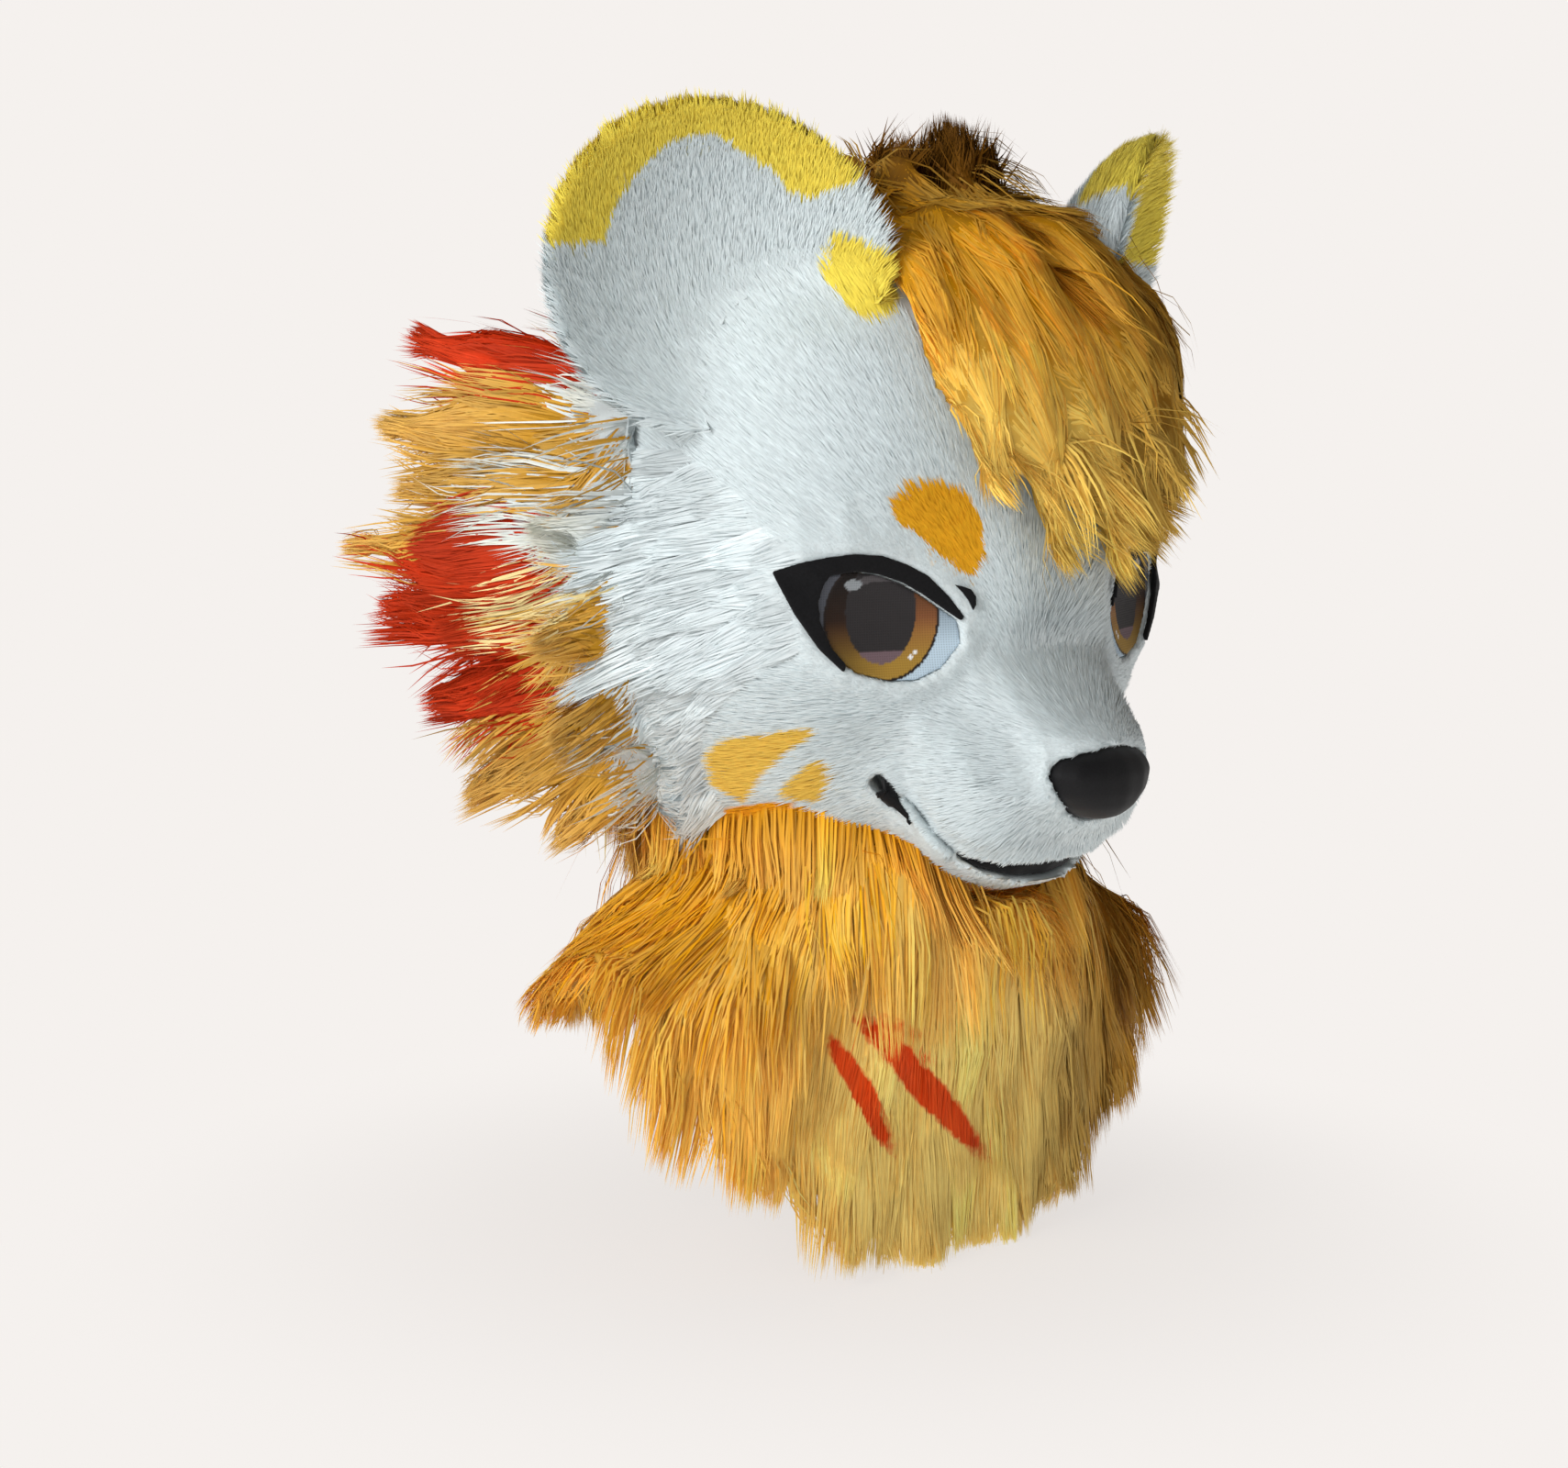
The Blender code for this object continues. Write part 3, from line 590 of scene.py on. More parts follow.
def gather(spine, clumps, clumping, rng):
    """Draws the fibres together towards the tips of a few, as locks, and says which fibre leads each."""
    leaders = rng.choice(len(spine), size=clumps, replace=False)
    tree = KDTree(clumps)
    for i, leader in enumerate(leaders):
        tree.insert(spine[leader, 0], i)
    tree.balance()
    nearest = [tree.find(root) for root in spine[:, 0]]
    led = leaders[[hit[1] for hit in nearest]]
    alike = dot(unit(spine[:, -1] - spine[:, 0]), unit(spine[led, -1] - spine[led, 0])) > ALIKE
    firmness = (clumping * rng.uniform(0.55, 1, len(spine)) * alike)[:, None]
    for k in range(1, spine.shape[1]):
        pull = firmness * (k / (spine.shape[1] - 1)) ** 1.3
        spine[:, k] += (spine[led, k] - spine[:, k]) * pull
    return led


def tree_of(objects):
    """A tree of the faces of finished skins."""
    points, faces, start = [], [], 0
    for obj in objects:
        own, _ = points_and_normals(obj)
        points.append(own)
        faces.append(triangles_of(obj) + start)
        start += len(own)
    return BVHTree.FromPolygons(np.concatenate(points).tolist(), np.concatenate(faces).tolist())


def mesh_from_arrays(name, points, faces, colours):
    """A smooth mesh with a colour at each point."""
    mesh = bpy.data.meshes.new(name)
    mesh.vertices.add(len(points))
    mesh.vertices.foreach_set("co", points.astype(np.float32).ravel())
    mesh.loops.add(faces.size)
    mesh.loops.foreach_set("vertex_index", faces.astype(np.int32).ravel())
    mesh.polygons.add(len(faces))
    mesh.polygons.foreach_set("loop_start", np.arange(0, faces.size, 3, dtype=np.int32))
    mesh.update(calc_edges=True)
    mesh.validate()
    mesh.shade_smooth()
    put_colours(mesh, colours)
    obj = bpy.data.objects.new(name, mesh)
    bpy.context.collection.objects.link(obj)
    return obj


def put_colours(mesh, colours):
    """Gives each point of a mesh its linear colour."""
    layer = mesh.color_attributes.new("fur_colour", "FLOAT_COLOR", "POINT")
    with_alpha = np.concatenate([np.clip(colours, 0, 1), np.ones((len(colours), 1))], axis=1)
    layer.data.foreach_set("color", with_alpha.astype(np.float32).ravel())


def furred(skin, colour, shaded_brightness, finish):
    """Gives a skin its fur's finish and colour, a little darker than the fibres, as painted shade under them.
    """
    points, _ = points_and_normals(skin)
    put_colours(skin.data, colour(points) * shaded_brightness)
    skin.data.materials.append(finish)


def fibre_uv(obj, roots, shares, fibre_faces, steps):
    """A small cell of the map for each fibre, with neighbours on the skin side by side in it."""
    count = len(roots)
    grid = math.ceil(math.sqrt(count))
    band = np.argsort(np.argsort(roots[:, 2], kind="stable")) // grid
    angle = np.arctan2(roots[:, 0], -roots[:, 1])
    rank = np.empty(count, dtype=np.int64)
    rank[np.lexsort((angle, band))] = np.arange(count)
    cell = np.stack([rank % grid, rank // grid], axis=1) / grid
    side = np.array([0.15, 0.85] * steps + [0.5])
    corners = (np.stack([side, 0.15 + 0.7 * shares], axis=1) / grid)[fibre_faces.ravel()]
    places = cell[:, None] + corners[None]
    layer = obj.data.uv_layers.new(name="OFBake")
    layer.data.foreach_set("uv", places.astype(np.float32).ravel())


# %% [markdown]
# ## Where things are on the head
#
# Markings are easiest to place by two angles seen from the middle of the head: the azimuth, from the face
# round to the side, and the elevation. Both sides are alike, so the azimuth is taken without its sign. An
# outline in these angles is then one list of corners, and a root is in it or not.

# %% Angles and outlines
HEAD_MIDDLE = np.array((0, -0.020, -0.130))


def turns_of(points):
    """The angle of each place round the upright axis, in degrees from the front towards the left."""
    return np.degrees(np.arctan2(points[:, 0], -points[:, 1]))


def on_left(points):
    """The places as if all were on the left side, because both sides are alike."""
    return np.where((True, False, False), np.abs(points), points)


def angles(points):
    """Azimuth and elevation in degrees, the azimuth as if on the left side."""
    away = on_left(points) - HEAD_MIDDLE
    return turns_of(away), np.degrees(np.arctan2(away[:, 2], np.hypot(away[:, 0], away[:, 1])))


def head_place(azimuth, elevation, radius):
    """The place at two angles and a distance from the head's middle."""
    return HEAD_MIDDLE + np.array(direction(math.radians(azimuth), math.radians(elevation))) * radius


def inside(x, y, outline):
    """Which places lie in a closed outline."""
    held = np.zeros(len(x), dtype=bool)
    for (x0, y0), (x1, y1) in zip(outline, outline[1:] + outline[:1]):
        crosses = (y0 > y) != (y1 > y)
        where = x0 + (y - y0) * (x1 - x0) / (y1 - y0 + 1e-12)
        held ^= crosses & (x < where)
    return held


BROW_SPOT = [
    (43.3, 9.9), (42.3, 12.2), (40, 14.2), (36.3, 14.7), (33.2, 14.5), (29.1, 13.4), (26, 11.6),
    (22.4, 5.9), (21.1, -1.5), (23.4, -5.2), (28.8, -2.2), (36.5, 4.1), (42.3, 8),
]
LONG_STRIPE = [
    (57.9, -31), (62, -30.9), (69.6, -31.9), (76.7, -32.6), (83.6, -36.9), (85.8, -43.4),
    (80.6, -46.1), (78.5, -47.4), (73.4, -43.1), (69.5, -39.6), (64.1, -35.8), (58.9, -33),
]
SHORT_STRIPE = [
    (59, -38.1), (55.9, -38.9), (56.4, -42.6), (58.5, -47), (64, -46.6), (68.1, -44.7), (63.4, -41),
]
print("markings:", len(BROW_SPOT), len(LONG_STRIPE), len(SHORT_STRIPE), "corners")

# %% [markdown]
# ## The eyes' own plane
#
# The printed mesh stands in a plane turned a little to the side. Its drawing is laid out in that plane in
# millimetres, outwards and up from the middle of the iris's panel.

# %% Eye plane
EYE_MIDDLE = np.array((0.083, -0.104, -0.154))
EYE_TURN = math.radians(21)


def on_eye(points):
    """Millimetres outwards and up from the eye's middle, for either eye."""
    away = (on_left(points) - EYE_MIDDLE) * 1000
    return away[:, 0] * math.cos(EYE_TURN) + away[:, 1] * math.sin(EYE_TURN), away[:, 2]


# %% [markdown]
# ## Distances to the features
#
# The pile is clipped short round the eyes, the lips and the nose, and is full length away from them. Where
# a solid such as the forelock covers the head, nothing is planted. Trees of the solids' faces answer both
# questions quickly.


# %% Trees
def face_tree(names):
    """A tree of the faces of these solids."""
    return tree_of([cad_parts[name] for name in names])


covers = face_tree(["forelock", "back_fur", "bib", "cheek_fluff_left", "cheek_fluff_right"])
ears = face_tree(["ear_left", "ear_right"])
shell = face_tree(["head_shell"])
trims = face_tree([
    "eyeliner_left", "eyeliner_right", "nose", "eye_panel_left", "eye_panel_right", "mouth_lining",
])


def open_air(points, normals, tree, reach, start=0.005):
    """Which places see no face of the tree within reach along their normal."""
    return np.array([
        tree.ray_cast(Vector(p + n * start), Vector(n), reach)[0] is None for p, n in zip(points, normals)
    ])


def distance_to(points, tree, limit=0.05):
    """How far each place is from a tree's nearest face, up to a limit."""
    found = [tree.find_nearest(Vector(p), limit)[3] for p in points]
    return np.array([limit if d is None else d for d in found])


# %% [markdown]
# ## The ears' own plane
#
# A broad yellow arc runs along each ear's upper rim, and a small yellow patch sits at its inner end, below
# a white band. The arc's edge is given in the ear's plane, by the angle round its middle and the share of
# its radius.

# %% Ear plane
EAR_MIDDLE = np.array((0.138, -0.064, -0.008))
EAR_RADIUS = 0.075
EAR_TURN, EAR_NOD, EAR_LEAN = (math.radians(v) for v in (32, 12, 9))

facing = np.array(direction(EAR_TURN, -EAR_NOD))
flat = np.array((math.cos(EAR_TURN), math.sin(EAR_TURN), 0))
steep = np.cross(facing, flat)
ear_across = flat * math.cos(EAR_LEAN) - steep * math.sin(EAR_LEAN)
ear_up = steep * math.cos(EAR_LEAN) + flat * math.sin(EAR_LEAN)


def on_ear(points):
    """Angle from outwards to up in degrees, and share of the ear's radius, for either ear."""
    away = on_left(points) - EAR_MIDDLE
    x, y = away @ ear_across, away @ ear_up
    return np.degrees(np.arctan2(y, x)), np.hypot(x, y) / EAR_RADIUS


ARC_START, ARC_END = 13, 158
ARC_ANGLES = (12, 33, 53, 71, 84, 96, 111, 129, 151, 163)
ARC_SHARES = (0.62, 0.62, 0.63, 0.68, 0.68, 0.66, 0.57, 0.55, 0.53, 0.62)
PATCH = [(178, 0.64), (184, 0.82), (189, 0.97), (201, 1.3), (211, 1.2), (211, 0.86), (206, 0.74), (200, 0.64)]


def ear_colour(points):
    """White, with the yellow arc and patch."""
    angle, share = on_ear(points)
    colour = np.tile(linear(WHITE_FUR), (len(points), 1))
    yellow = (angle > ARC_START) & (angle < ARC_END) & (share > np.interp(angle, ARC_ANGLES, ARC_SHARES))
    yellow |= inside(np.where(angle < 0, angle + 360, angle), share, PATCH)
    colour[yellow] = linear(EAR_YELLOW)
    return colour


print("ears' middle:", EAR_MIDDLE, "facing", facing.round(2))

# %% [markdown]
# ## The head's short white pile
#
# The head is shaved fur: about 9 mm long, brushed back from the nose. Its skin sinks by 3 mm, but not round
# the eyes, lips and nose, where the fur is clipped close. The head and the ears are joined into one form
# first, because the fur flows from one over the other with no crease.


# %% Head skin
# how near to the seam the head and the ears flow into one another, and how far up the ear the skin reaches
SEAM_REACH = 0.020
APRON = 0.013


def head_form():
    """The head and both ears as one surface, soft where they meet, cut off a little way up the ears."""
    parts = [merged_copy(node, node + "_skin") for node in ("head_shell", "ear_left", "ear_right")]
    bpy.ops.object.select_all(action="DESELECT")
    for part in parts:
        part.select_set(True)
    bpy.context.view_layer.objects.active = parts[0]
    bpy.ops.object.join()
    form = bpy.context.object
    soften(form, 0.0022, 0)
    points, _ = points_and_normals(form)
    smooth_where(form, np.clip((distance_to(points, trims) - 0.006) / 0.012, 0.05, 1), 12)
    points, _ = points_and_normals(form)
    farther = np.maximum(distance_to(points, ears), distance_to(points, shell))
    smooth_where(form, np.clip((SEAM_REACH - farther) / (SEAM_REACH * 0.6), 0, 1), 90)
    points, _ = points_and_normals(form)
    on_ears = (distance_to(points, shell) > APRON) & (distance_to(points, ears) < 0.006)
    select_only(form)
    bpy.ops.object.mode_set(mode="EDIT")
    bpy.ops.mesh.select_mode(type="VERT")
    bpy.ops.mesh.select_all(action="DESELECT")
    bpy.ops.object.mode_set(mode="OBJECT")
    form.data.vertices.foreach_set("select", on_ears)
    bpy.ops.object.mode_set(mode="EDIT")
    bpy.ops.mesh.delete(type="VERT")
    bpy.ops.object.mode_set(mode="OBJECT")
    return form


# the lowest and the highest place of a line up the head's middle
MIDDLE_LINE = ((0, 0, -0.26), (0, 0, -0.09))


def outward_share(points, normals):
    """Above 0 on the outside of the head, below 0 in its hollow."""
    return dot(normals, unit(points - np.clip(points, *MIDDLE_LINE)))


def near_ears(points):
    """Which places are on an ear, or close to one."""
    return distance_to(points, ears, 0.02) < 0.018


def is_outer(points, normals):
    """What isn't in the hollow: the head's outside, and all of the ears."""
    return (outward_share(points, normals) > 0.05) | near_ears(points)


def head_sink(points, normals):
    """How deep the skin goes in: less towards the eyes, the lips and the nose, and not in the hollow."""
    share = np.clip((distance_to(points, trims) - 0.002) / 0.012, 0, 1)
    return np.where(is_outer(points, normals), 0.003 * share, 0)


head_skin = skin_of("head_shell", head_sink, keep=0.24, form=head_form())

# %% Head colours
NOSE_TIP = np.array((0, -0.168, -0.205))
NECK_AZIMUTHS = (0, 18, 35, 45, 58, 66, 74, 85, 100, 135, 180)
NECK_ELEVATIONS = (-60.5, -58.5, -56, -56, -50.5, -47, -47, -49, -51, -38, -36)


def neck_line(azimuth):
    """The elevation under which the bib's fur starts."""
    return np.interp(azimuth, NECK_AZIMUTHS, NECK_ELEVATIONS)


def head_colour(points):
    """The head's colour at the roots of its pile."""
    azimuth, elevation = angles(points)
    colour = np.tile(linear(WHITE_FUR), (len(points), 1))
    colour[inside(azimuth, elevation, BROW_SPOT)] = linear(SPOT_ORANGE)
    for stripe in (LONG_STRIPE, SHORT_STRIPE):
        colour[inside(azimuth, elevation, stripe)] = linear(STRIPE_GOLD)
    neck = (elevation < neck_line(azimuth)) & (outward_share(points, points - HEAD_MIDDLE) > 0)
    colour[neck] = linear(BIB_ORANGE)
    by_ear = distance_to(points, ears, 0.03) < distance_to(points, shell, 0.03) + 0.004
    colour[by_ear] = ear_colour(points[by_ear])
    return colour


def head_keep(points, normals):
    """The outer side, where nothing covers it."""
    stays = is_outer(points, normals)
    sure = near_ears(points) | (points[:, 1] > 0.01)
    stays[stays] = sure[stays] | open_air(points[stays], normals[stays], shell, 0.03)
    here = points[stays], normals[stays]
    # a cover less than a few millimetres thick sinks under the head's skin, so only thicker ones count
    stays[stays] = open_air(*here, covers, 0.008, start=0.001) | open_air(*here, covers, 0.06, start=0.0055)
    return stays


FOAM = (226, 222, 208)
points, normals = points_and_normals(head_skin)
# painted shade: the head's skin is a little darker than its pile, as it lies under the fibres
skin_colour = head_colour(points) * 0.9
skin_colour[~is_outer(points, normals)] = linear(FOAM)
put_colours(head_skin.data, skin_colour)
head_skin.data.materials.append(pile_finish)
head_tree = tree_of([head_skin])

# %% Head pile
PILE = {"colour_at": 0.0, "root_dark": 0.86, "plush": 0.7, "lift": 0.34, "unrest": 0.09}
roots, normals = roots_on(head_skin, 124000, 11, head_keep)
clipped = np.clip(distance_to(roots, trims) / 0.02, 0.22, 1)
flow = roots - NOSE_TIP + np.array((0, 0, 0.01))
plant("head_pile", roots, normals, flow, 0.0085 * clipped, 0.0009, head_colour, pile_finish, seed=12, **PILE)

# %% [markdown]
# ## Ears
#
# The ears are padded, and covered with short pile that is brushed up from the base.


# %% Ear skins and pile
def ear_keep(points, normals):
    """What stands clear of the head's skin."""
    return open_air(points, normals, head_tree, 0.02, start=0.0015)


ear_base = EAR_MIDDLE - ear_up * EAR_RADIUS * 0.9
for side, word in ((-1, "right"), (1, "left")):
    skin = skin_of("ear_" + word, even_sink(0.003), voxel=0.0025, keep=0.3)
    furred(skin, ear_colour, 0.9, pile_finish)
    roots, normals = roots_on(skin, 31000, 31 + side, ear_keep)
    past_rim = np.clip(on_ear(roots)[1] - 0.8, 0, 0.3)
    plant("ear_pile_" + word, roots, normals, roots - ear_base * (side, 1, 1), 0.0085 + 0.01 * past_rim,
          0.001, ear_colour, pile_finish, seed=33 + side, lift=0.38, root_dark=0.84, colour_at=0.0,
          plush=0.65, unrest=0.1)

# %% [markdown]
# ## Lock lines
#
# The long fur of the forelock and the cheek tufts falls in locks. Each lock has a line from its root on the
# head to its tip. A fibre follows the lock whose line is nearest, so that the fibres run down each lock and
# close to a point at its end.


# %% Following lock lines
# how far past the end of its piece of line a fibre aims, as a share of the piece
AIM_PAST = 0.35


def follow(points, lines):
    """The heading of the nearest lock line at each point, and the way left to that lock's tip."""
    best = np.full(len(points), 1e9)
    heading = np.zeros((len(points), 3))
    left = np.zeros(len(points))
    for start, end, tip in lines:
        span = end - start
        share = np.clip(((points - start) @ span) / (span @ span), 0, 1)
        gap = np.linalg.norm(points - start - span * share[:, None], axis=1)
        closer = gap < best
        best[closer] = gap[closer]
        heading[closer] = unit(end + span * AIM_PAST - points)[closer]
        left[closer] = np.linalg.norm(tip - points, axis=1)[closer]
    return heading, left


# %% [markdown]
# ## Cheek tufts
#
# The tufts behind the cheeks are long fur in red, yellow and white. Each lock has one colour, darkened at
# the roots by painted shade, and the strands of two neighbours mix where they meet.

# %% Cheek tuft fur
# each lock: azimuth and elevation of its root, and its tip in millimetres
TUFT_LOCKS = (
    (119, 27, 150, 124, -36), (118, 18, 163, 128, -76), (113, 8, 160, 118, -100), (112, -1, 178, 136, -126),
    (116, -10, 168, 126, -150), (120, -21, 153, 113, -192), (122, -32, 140, 106, -235),
    (118, -41, 108, 78, -254), (98, 6, 176, 14, -116), (96, -10, 187, -6, -156), (97, -26, 178, -4, -202),
)
# each patch: across and height of its middle, its two radii, in millimetres, and its colour
TUFT_PATCHES = (
    (172, -38, 50, 19, TUFT_RED),
    (100, -66, 24, 16, WHITE_FUR),
    (172, -80, 48, 23, TUFT_YELLOW),
    (132, -98, 26, 13, TUFT_YELLOW),
    (206, -117, 34, 15, TUFT_YELLOW),
    (170, -141, 36, 25, TUFT_RED),
    (108, -122, 30, 19, WHITE_FUR),
    (140, -152, 16, 11, TUFT_PALE),
    (118, -180, 22, 24, TUFT_YELLOW),
    (168, -191, 26, 20, TUFT_RED),
    (150, -236, 52, 24, TUFT_YELLOW),
    (76, -232, 30, 40, WHITE_FUR),
    (82, -170, 20, 46, WHITE_FUR),
)


# places seen at 45 degrees, in millimetres
ACROSS_SHARE = 707


def tuft_colour(points):
    """The colour of the nearest patch, seen square to the camera, with ragged edges."""
    rng = np.random.default_rng(len(points))
    across = (np.abs(points[:, 0]) + points[:, 1]) * ACROSS_SHARE + rng.normal(0, 3, len(points))
    height = points[:, 2] * 1000 + rng.normal(0, 2.5, len(points))
    reach = [np.hypot((across - x) / rx, (height - z) / rz) for x, z, rx, rz, _ in TUFT_PATCHES]
    return np.array([linear(row[4]) for row in TUFT_PATCHES])[np.argmin(reach, axis=0)]


tuft_lines = []
for azimuth, elevation, *tip in TUFT_LOCKS:
    tip = np.array(tip) / 1000
    tuft_lines.append((head_place(azimuth, elevation, 0.13), tip, tip))


def off_shell(points, normals):
    """What doesn't lie against the head's shell or an ear."""
    return open_air(points, normals, shell, 0.006) & open_air(points, normals, ears, 0.006)


# heights, and how much the fur runs up or down there
CHEEK_HEIGHTS = (-0.26, -0.235, -0.205, -0.17, -0.125, -0.08, -0.03)
CHEEK_RISES = (-2.0, -1.2, -0.8, -0.5, -0.15, -0.05, 0.2)
# heights, and how long the white locks grow there
LOCK_HEIGHTS = (-0.245, -0.226, -0.180, -0.168, -0.158, -0.142, -0.118, -0.104)
LOCK_LENGTHS = (0.050, 0.018, 0.014, 0.046, 0.018, 0.034, 0.034, 0.024)


def cheek_flow(points, side):
    """Outwards and back, upwards at the top and down at the bottom."""
    rise = np.interp(points[:, 2], CHEEK_HEIGHTS, CHEEK_RISES)
    return np.stack([np.full(len(points), side * 0.7), np.full(len(points), 0.7), rise], axis=1)


def tuft_flow(points, side):
    """As on the cheeks, and along the locks."""
    along = follow(points * (side, 1, 1), tuft_lines)[0] * (side, 1, 1)
    return unit(cheek_flow(points, side)) + along * 0.9


tuft_skins, tuft_trees = {}, {}
for side, word in ((-1, "right"), (1, "left")):
    skin = skin_of("cheek_fluff_" + word, even_sink(0.004), smoothing=6)
    furred(skin, tuft_colour, 0.75, hair_finish)
    tuft_skins[side], tuft_trees[side] = skin, tree_of([skin])
    roots, normals = roots_on(skin, 12500, 43 + side, off_shell)
    left = follow(roots * (side, 1, 1), tuft_lines)[1]
    plant("cheek_tuft_" + word, roots, normals, lambda p: tuft_flow(p, side),
          np.clip(left + 0.006, 0.016, 0.050), 0.0011, tuft_colour, hair_finish, seed=45 + side, lift=0.16,
          root_dark=0.84, colour_at=0.5, steps=3, settle=0.4, clumps=190, locks_share=0.8, tip=TUFT_PALE,
          tip_share=0.3, tree=tuft_trees[side])

# %% [markdown]
# ## Long white fur on the cheeks
#
# At the back of the cheeks the white fur isn't shaved: it is up to 7 cm long, and falls in broad locks over
# the roots of the coloured tufts. Between those locks it is shorter, so that the tufts' colours show.


# %% White cheek fur
def cheek_edge(elevation):
    """The azimuth at which the cheeks' long fur starts."""
    return np.interp(elevation, (-50, -38, -27, -15, 2, 12, 20), (88, 87, 80, 60, 60, 70, 84))


def cheek_keep(points, normals, side):
    """The back of one cheek, where no solid of the head or tuft covers it."""
    azimuth, elevation = angles(points)
    stays = (points[:, 0] * side > 0) & (azimuth > cheek_edge(elevation)) & (azimuth < 103)
    stays &= (elevation > neck_line(azimuth)) & (elevation < 20) & (outward_share(points, normals) > 0.05)
    stays[stays] = open_air(points[stays], normals[stays], shell, 0.03)
    stays[stays] = open_air(points[stays], normals[stays], tuft_trees[side], 0.05, start=0.001)
    return stays


def white_colour(points):
    """White all over, a little greyer than the short pile."""
    return np.tile(linear(WHITE_FUR) * 0.92, (len(points), 1))


for side, word in ((-1, "right"), (1, "left")):
    roots, normals = roots_on(head_skin, 9500, 21 + side,
                              lambda p, n: cheek_keep(p, n, side))
    azimuth, elevation = angles(roots)
    grown = np.clip((azimuth - cheek_edge(elevation)) / 26, 0, 1)
    length = 0.012 + grown * np.interp(roots[:, 2], LOCK_HEIGHTS, LOCK_LENGTHS)
    plant("cheek_hair_" + word, roots, normals, lambda p: cheek_flow(p, side), length, 0.0011, white_colour,
          hair_finish, seed=23 + side, lift=0.16, root_dark=0.94, plush=0.7, steps=3, settle=0.4, clumps=150,
          tree=tree_of([head_skin, tuft_skins[side]]), over=True)

# %% [markdown]
# ## Forelock
#
# The hair over the forehead is parted near the right ear and swept across to the left. It is orange near
# the parting, gold at the ends over the brow, and browner on the crown. On the far side it is darkened
# towards brown by painted shade.

# %% Forelock fur
# each swept lock: azimuth and elevation of its root, and those of its tip
SWEPT_LOCKS = (
    (-34, 66, -36, 26), (-30, 62, -25, 9), (-20, 58, -9, -3), (-4, 58, 9, -4), (14, 58, 25, 2),
    (32, 58, 40, 7), (50, 58, 54, 11), (68, 56, 67, 18), (-14, 76, -4, 30), (30, 76, 24, 26),
    (66, 74, 50, 28),
)
# each lock of the crown: azimuth and elevation of its root, and its tip in millimetres
CROWN_LOCKS = (
    (-60, 76, -14, 8, 44), (-20, 80, 8, -4, 47), (30, 76, 38, -2, 45), (60, 72, 62, 4, 40),
    (120, 74, 34, 34, 38),
)
SWEEP_RADIUS = 0.165
hair_lines = []
for root_az, root_el, tip_az, tip_el in SWEPT_LOCKS:
    tip = head_place(tip_az, tip_el, SWEEP_RADIUS)
    cuts = [(root_az + (tip_az - root_az) * s, root_el + (tip_el - root_el) * s) for s in (0, 0.33, 0.66, 1)]
    for start, end in zip(cuts, cuts[1:]):
        hair_lines.append((head_place(*start, SWEEP_RADIUS), head_place(*end, SWEEP_RADIUS), tip))
for azimuth, elevation, *tip in CROWN_LOCKS:
    tip = np.array(tip) / 1000
    hair_lines.append((head_place(azimuth, elevation, 0.14), tip, tip))


def hair_colour(points):
    """Orange at the parting, pale gold in the ends over the brow, browner on the crown, and darkened by
    painted shade on the far side.
    """
    rng = np.random.default_rng(len(points))
    azimuth, elevation = turns_of(points - HEAD_MIDDLE), angles(points)[1]
    gold = np.clip((44 - elevation) / 34, 0, 1)
    gold = np.clip(gold + rng.normal(0, 0.12, len(points)), 0, 1)[:, None]
    colour = between(linear(HAIR_ORANGE), linear(HAIR_GOLD), gold)
    crown = np.clip((points[:, 2] - 0.008) / 0.022, 0, 0.9)
    # painted shade: towards the far side the hair is mixed towards brown
    far = np.clip((azimuth - 2) / 40, 0, 0.6) * np.clip((150 - azimuth) / 60, 0, 1)
    brown_and_far_shade = np.clip(np.maximum(crown, far) + rng.normal(0, 0.08, len(points)), 0, 1)[:, None]
    return between(colour, linear(HAIR_DARK), brown_and_far_shade)


def hair_flow(points):
    """Along the locks, and a little further to the left and down."""
    around = unit(np.stack([-(points[:, 1] + 0.02), points[:, 0], np.zeros(len(points))], axis=1))
    return follow(points, hair_lines)[0] + around * 0.25 + (0, 0, -0.3)


def hair_keep(points, normals):
    """Off the head's shell in front, and all of the outer side behind."""
    return off_shell(points, normals) | ((points[:, 1] > 0) & (outward_share(points, normals) > 0.1))


hair_skin = skin_of("forelock", even_sink(0.004), smoothing=6)
furred(hair_skin, hair_colour, 0.65, hair_finish)
roots, normals = roots_on(hair_skin, 21000, 52, hair_keep)
left = follow(roots, hair_lines)[1]
plant("forelock_hair", roots, normals, hair_flow, np.clip(left - 0.016, 0.010, 0.050), 0.0011, hair_colour,
      hair_finish, seed=53, lift=0.09, root_dark=0.84, steps=3, settle=0.4, clumps=240, clumping=0.55,
      locks_share=0.6, tip=HAIR_GOLD, tip_share=0.35, tree=tree_of([hair_skin]))


# %% Crown tuft
CROWN_TIP = (84, 54, 18)


def crown_keep(points, normals):
    """The top of the forelock, beside the middle."""
    return (points[:, 2] > 0.028) & (normals[:, 2] > 0) & (points[:, 0] > 0.002) & (points[:, 0] < 0.065)


def dark_colour(points):
    """Brown all over."""
    return np.tile(linear(HAIR_DARK), (len(points), 1))


roots, normals = roots_on(hair_skin, 2600, 56, crown_keep)
flow = np.tile((-0.7, -0.1, 1.0), (len(roots), 1))
plant("crown_hair", roots, normals, flow, 0.025, 0.0012, dark_colour, hair_finish, seed=57, lift=0.7,
      root_dark=1.0, steps=2, settle=0.2, unrest=0.3, clumps=30, clumping=0.65, tip=CROWN_TIP, tip_share=0.7)

# %% [markdown]
# ## Back of the head
#
# The back carries the same long hair, brushed down. It stands off the skin more than the forelock does, so
# that the skin doesn't show between its locks.


# %% Back fur
def downwards(points):
    """Down, and a little out to the sides."""
    return np.tile((0.0, 0.15, -1.0), (len(points), 1)) + points * (0.8, 0, 0)


def back_keep(points, normals):
    """The outer side."""
    return outward_share(points, normals) > 0.1


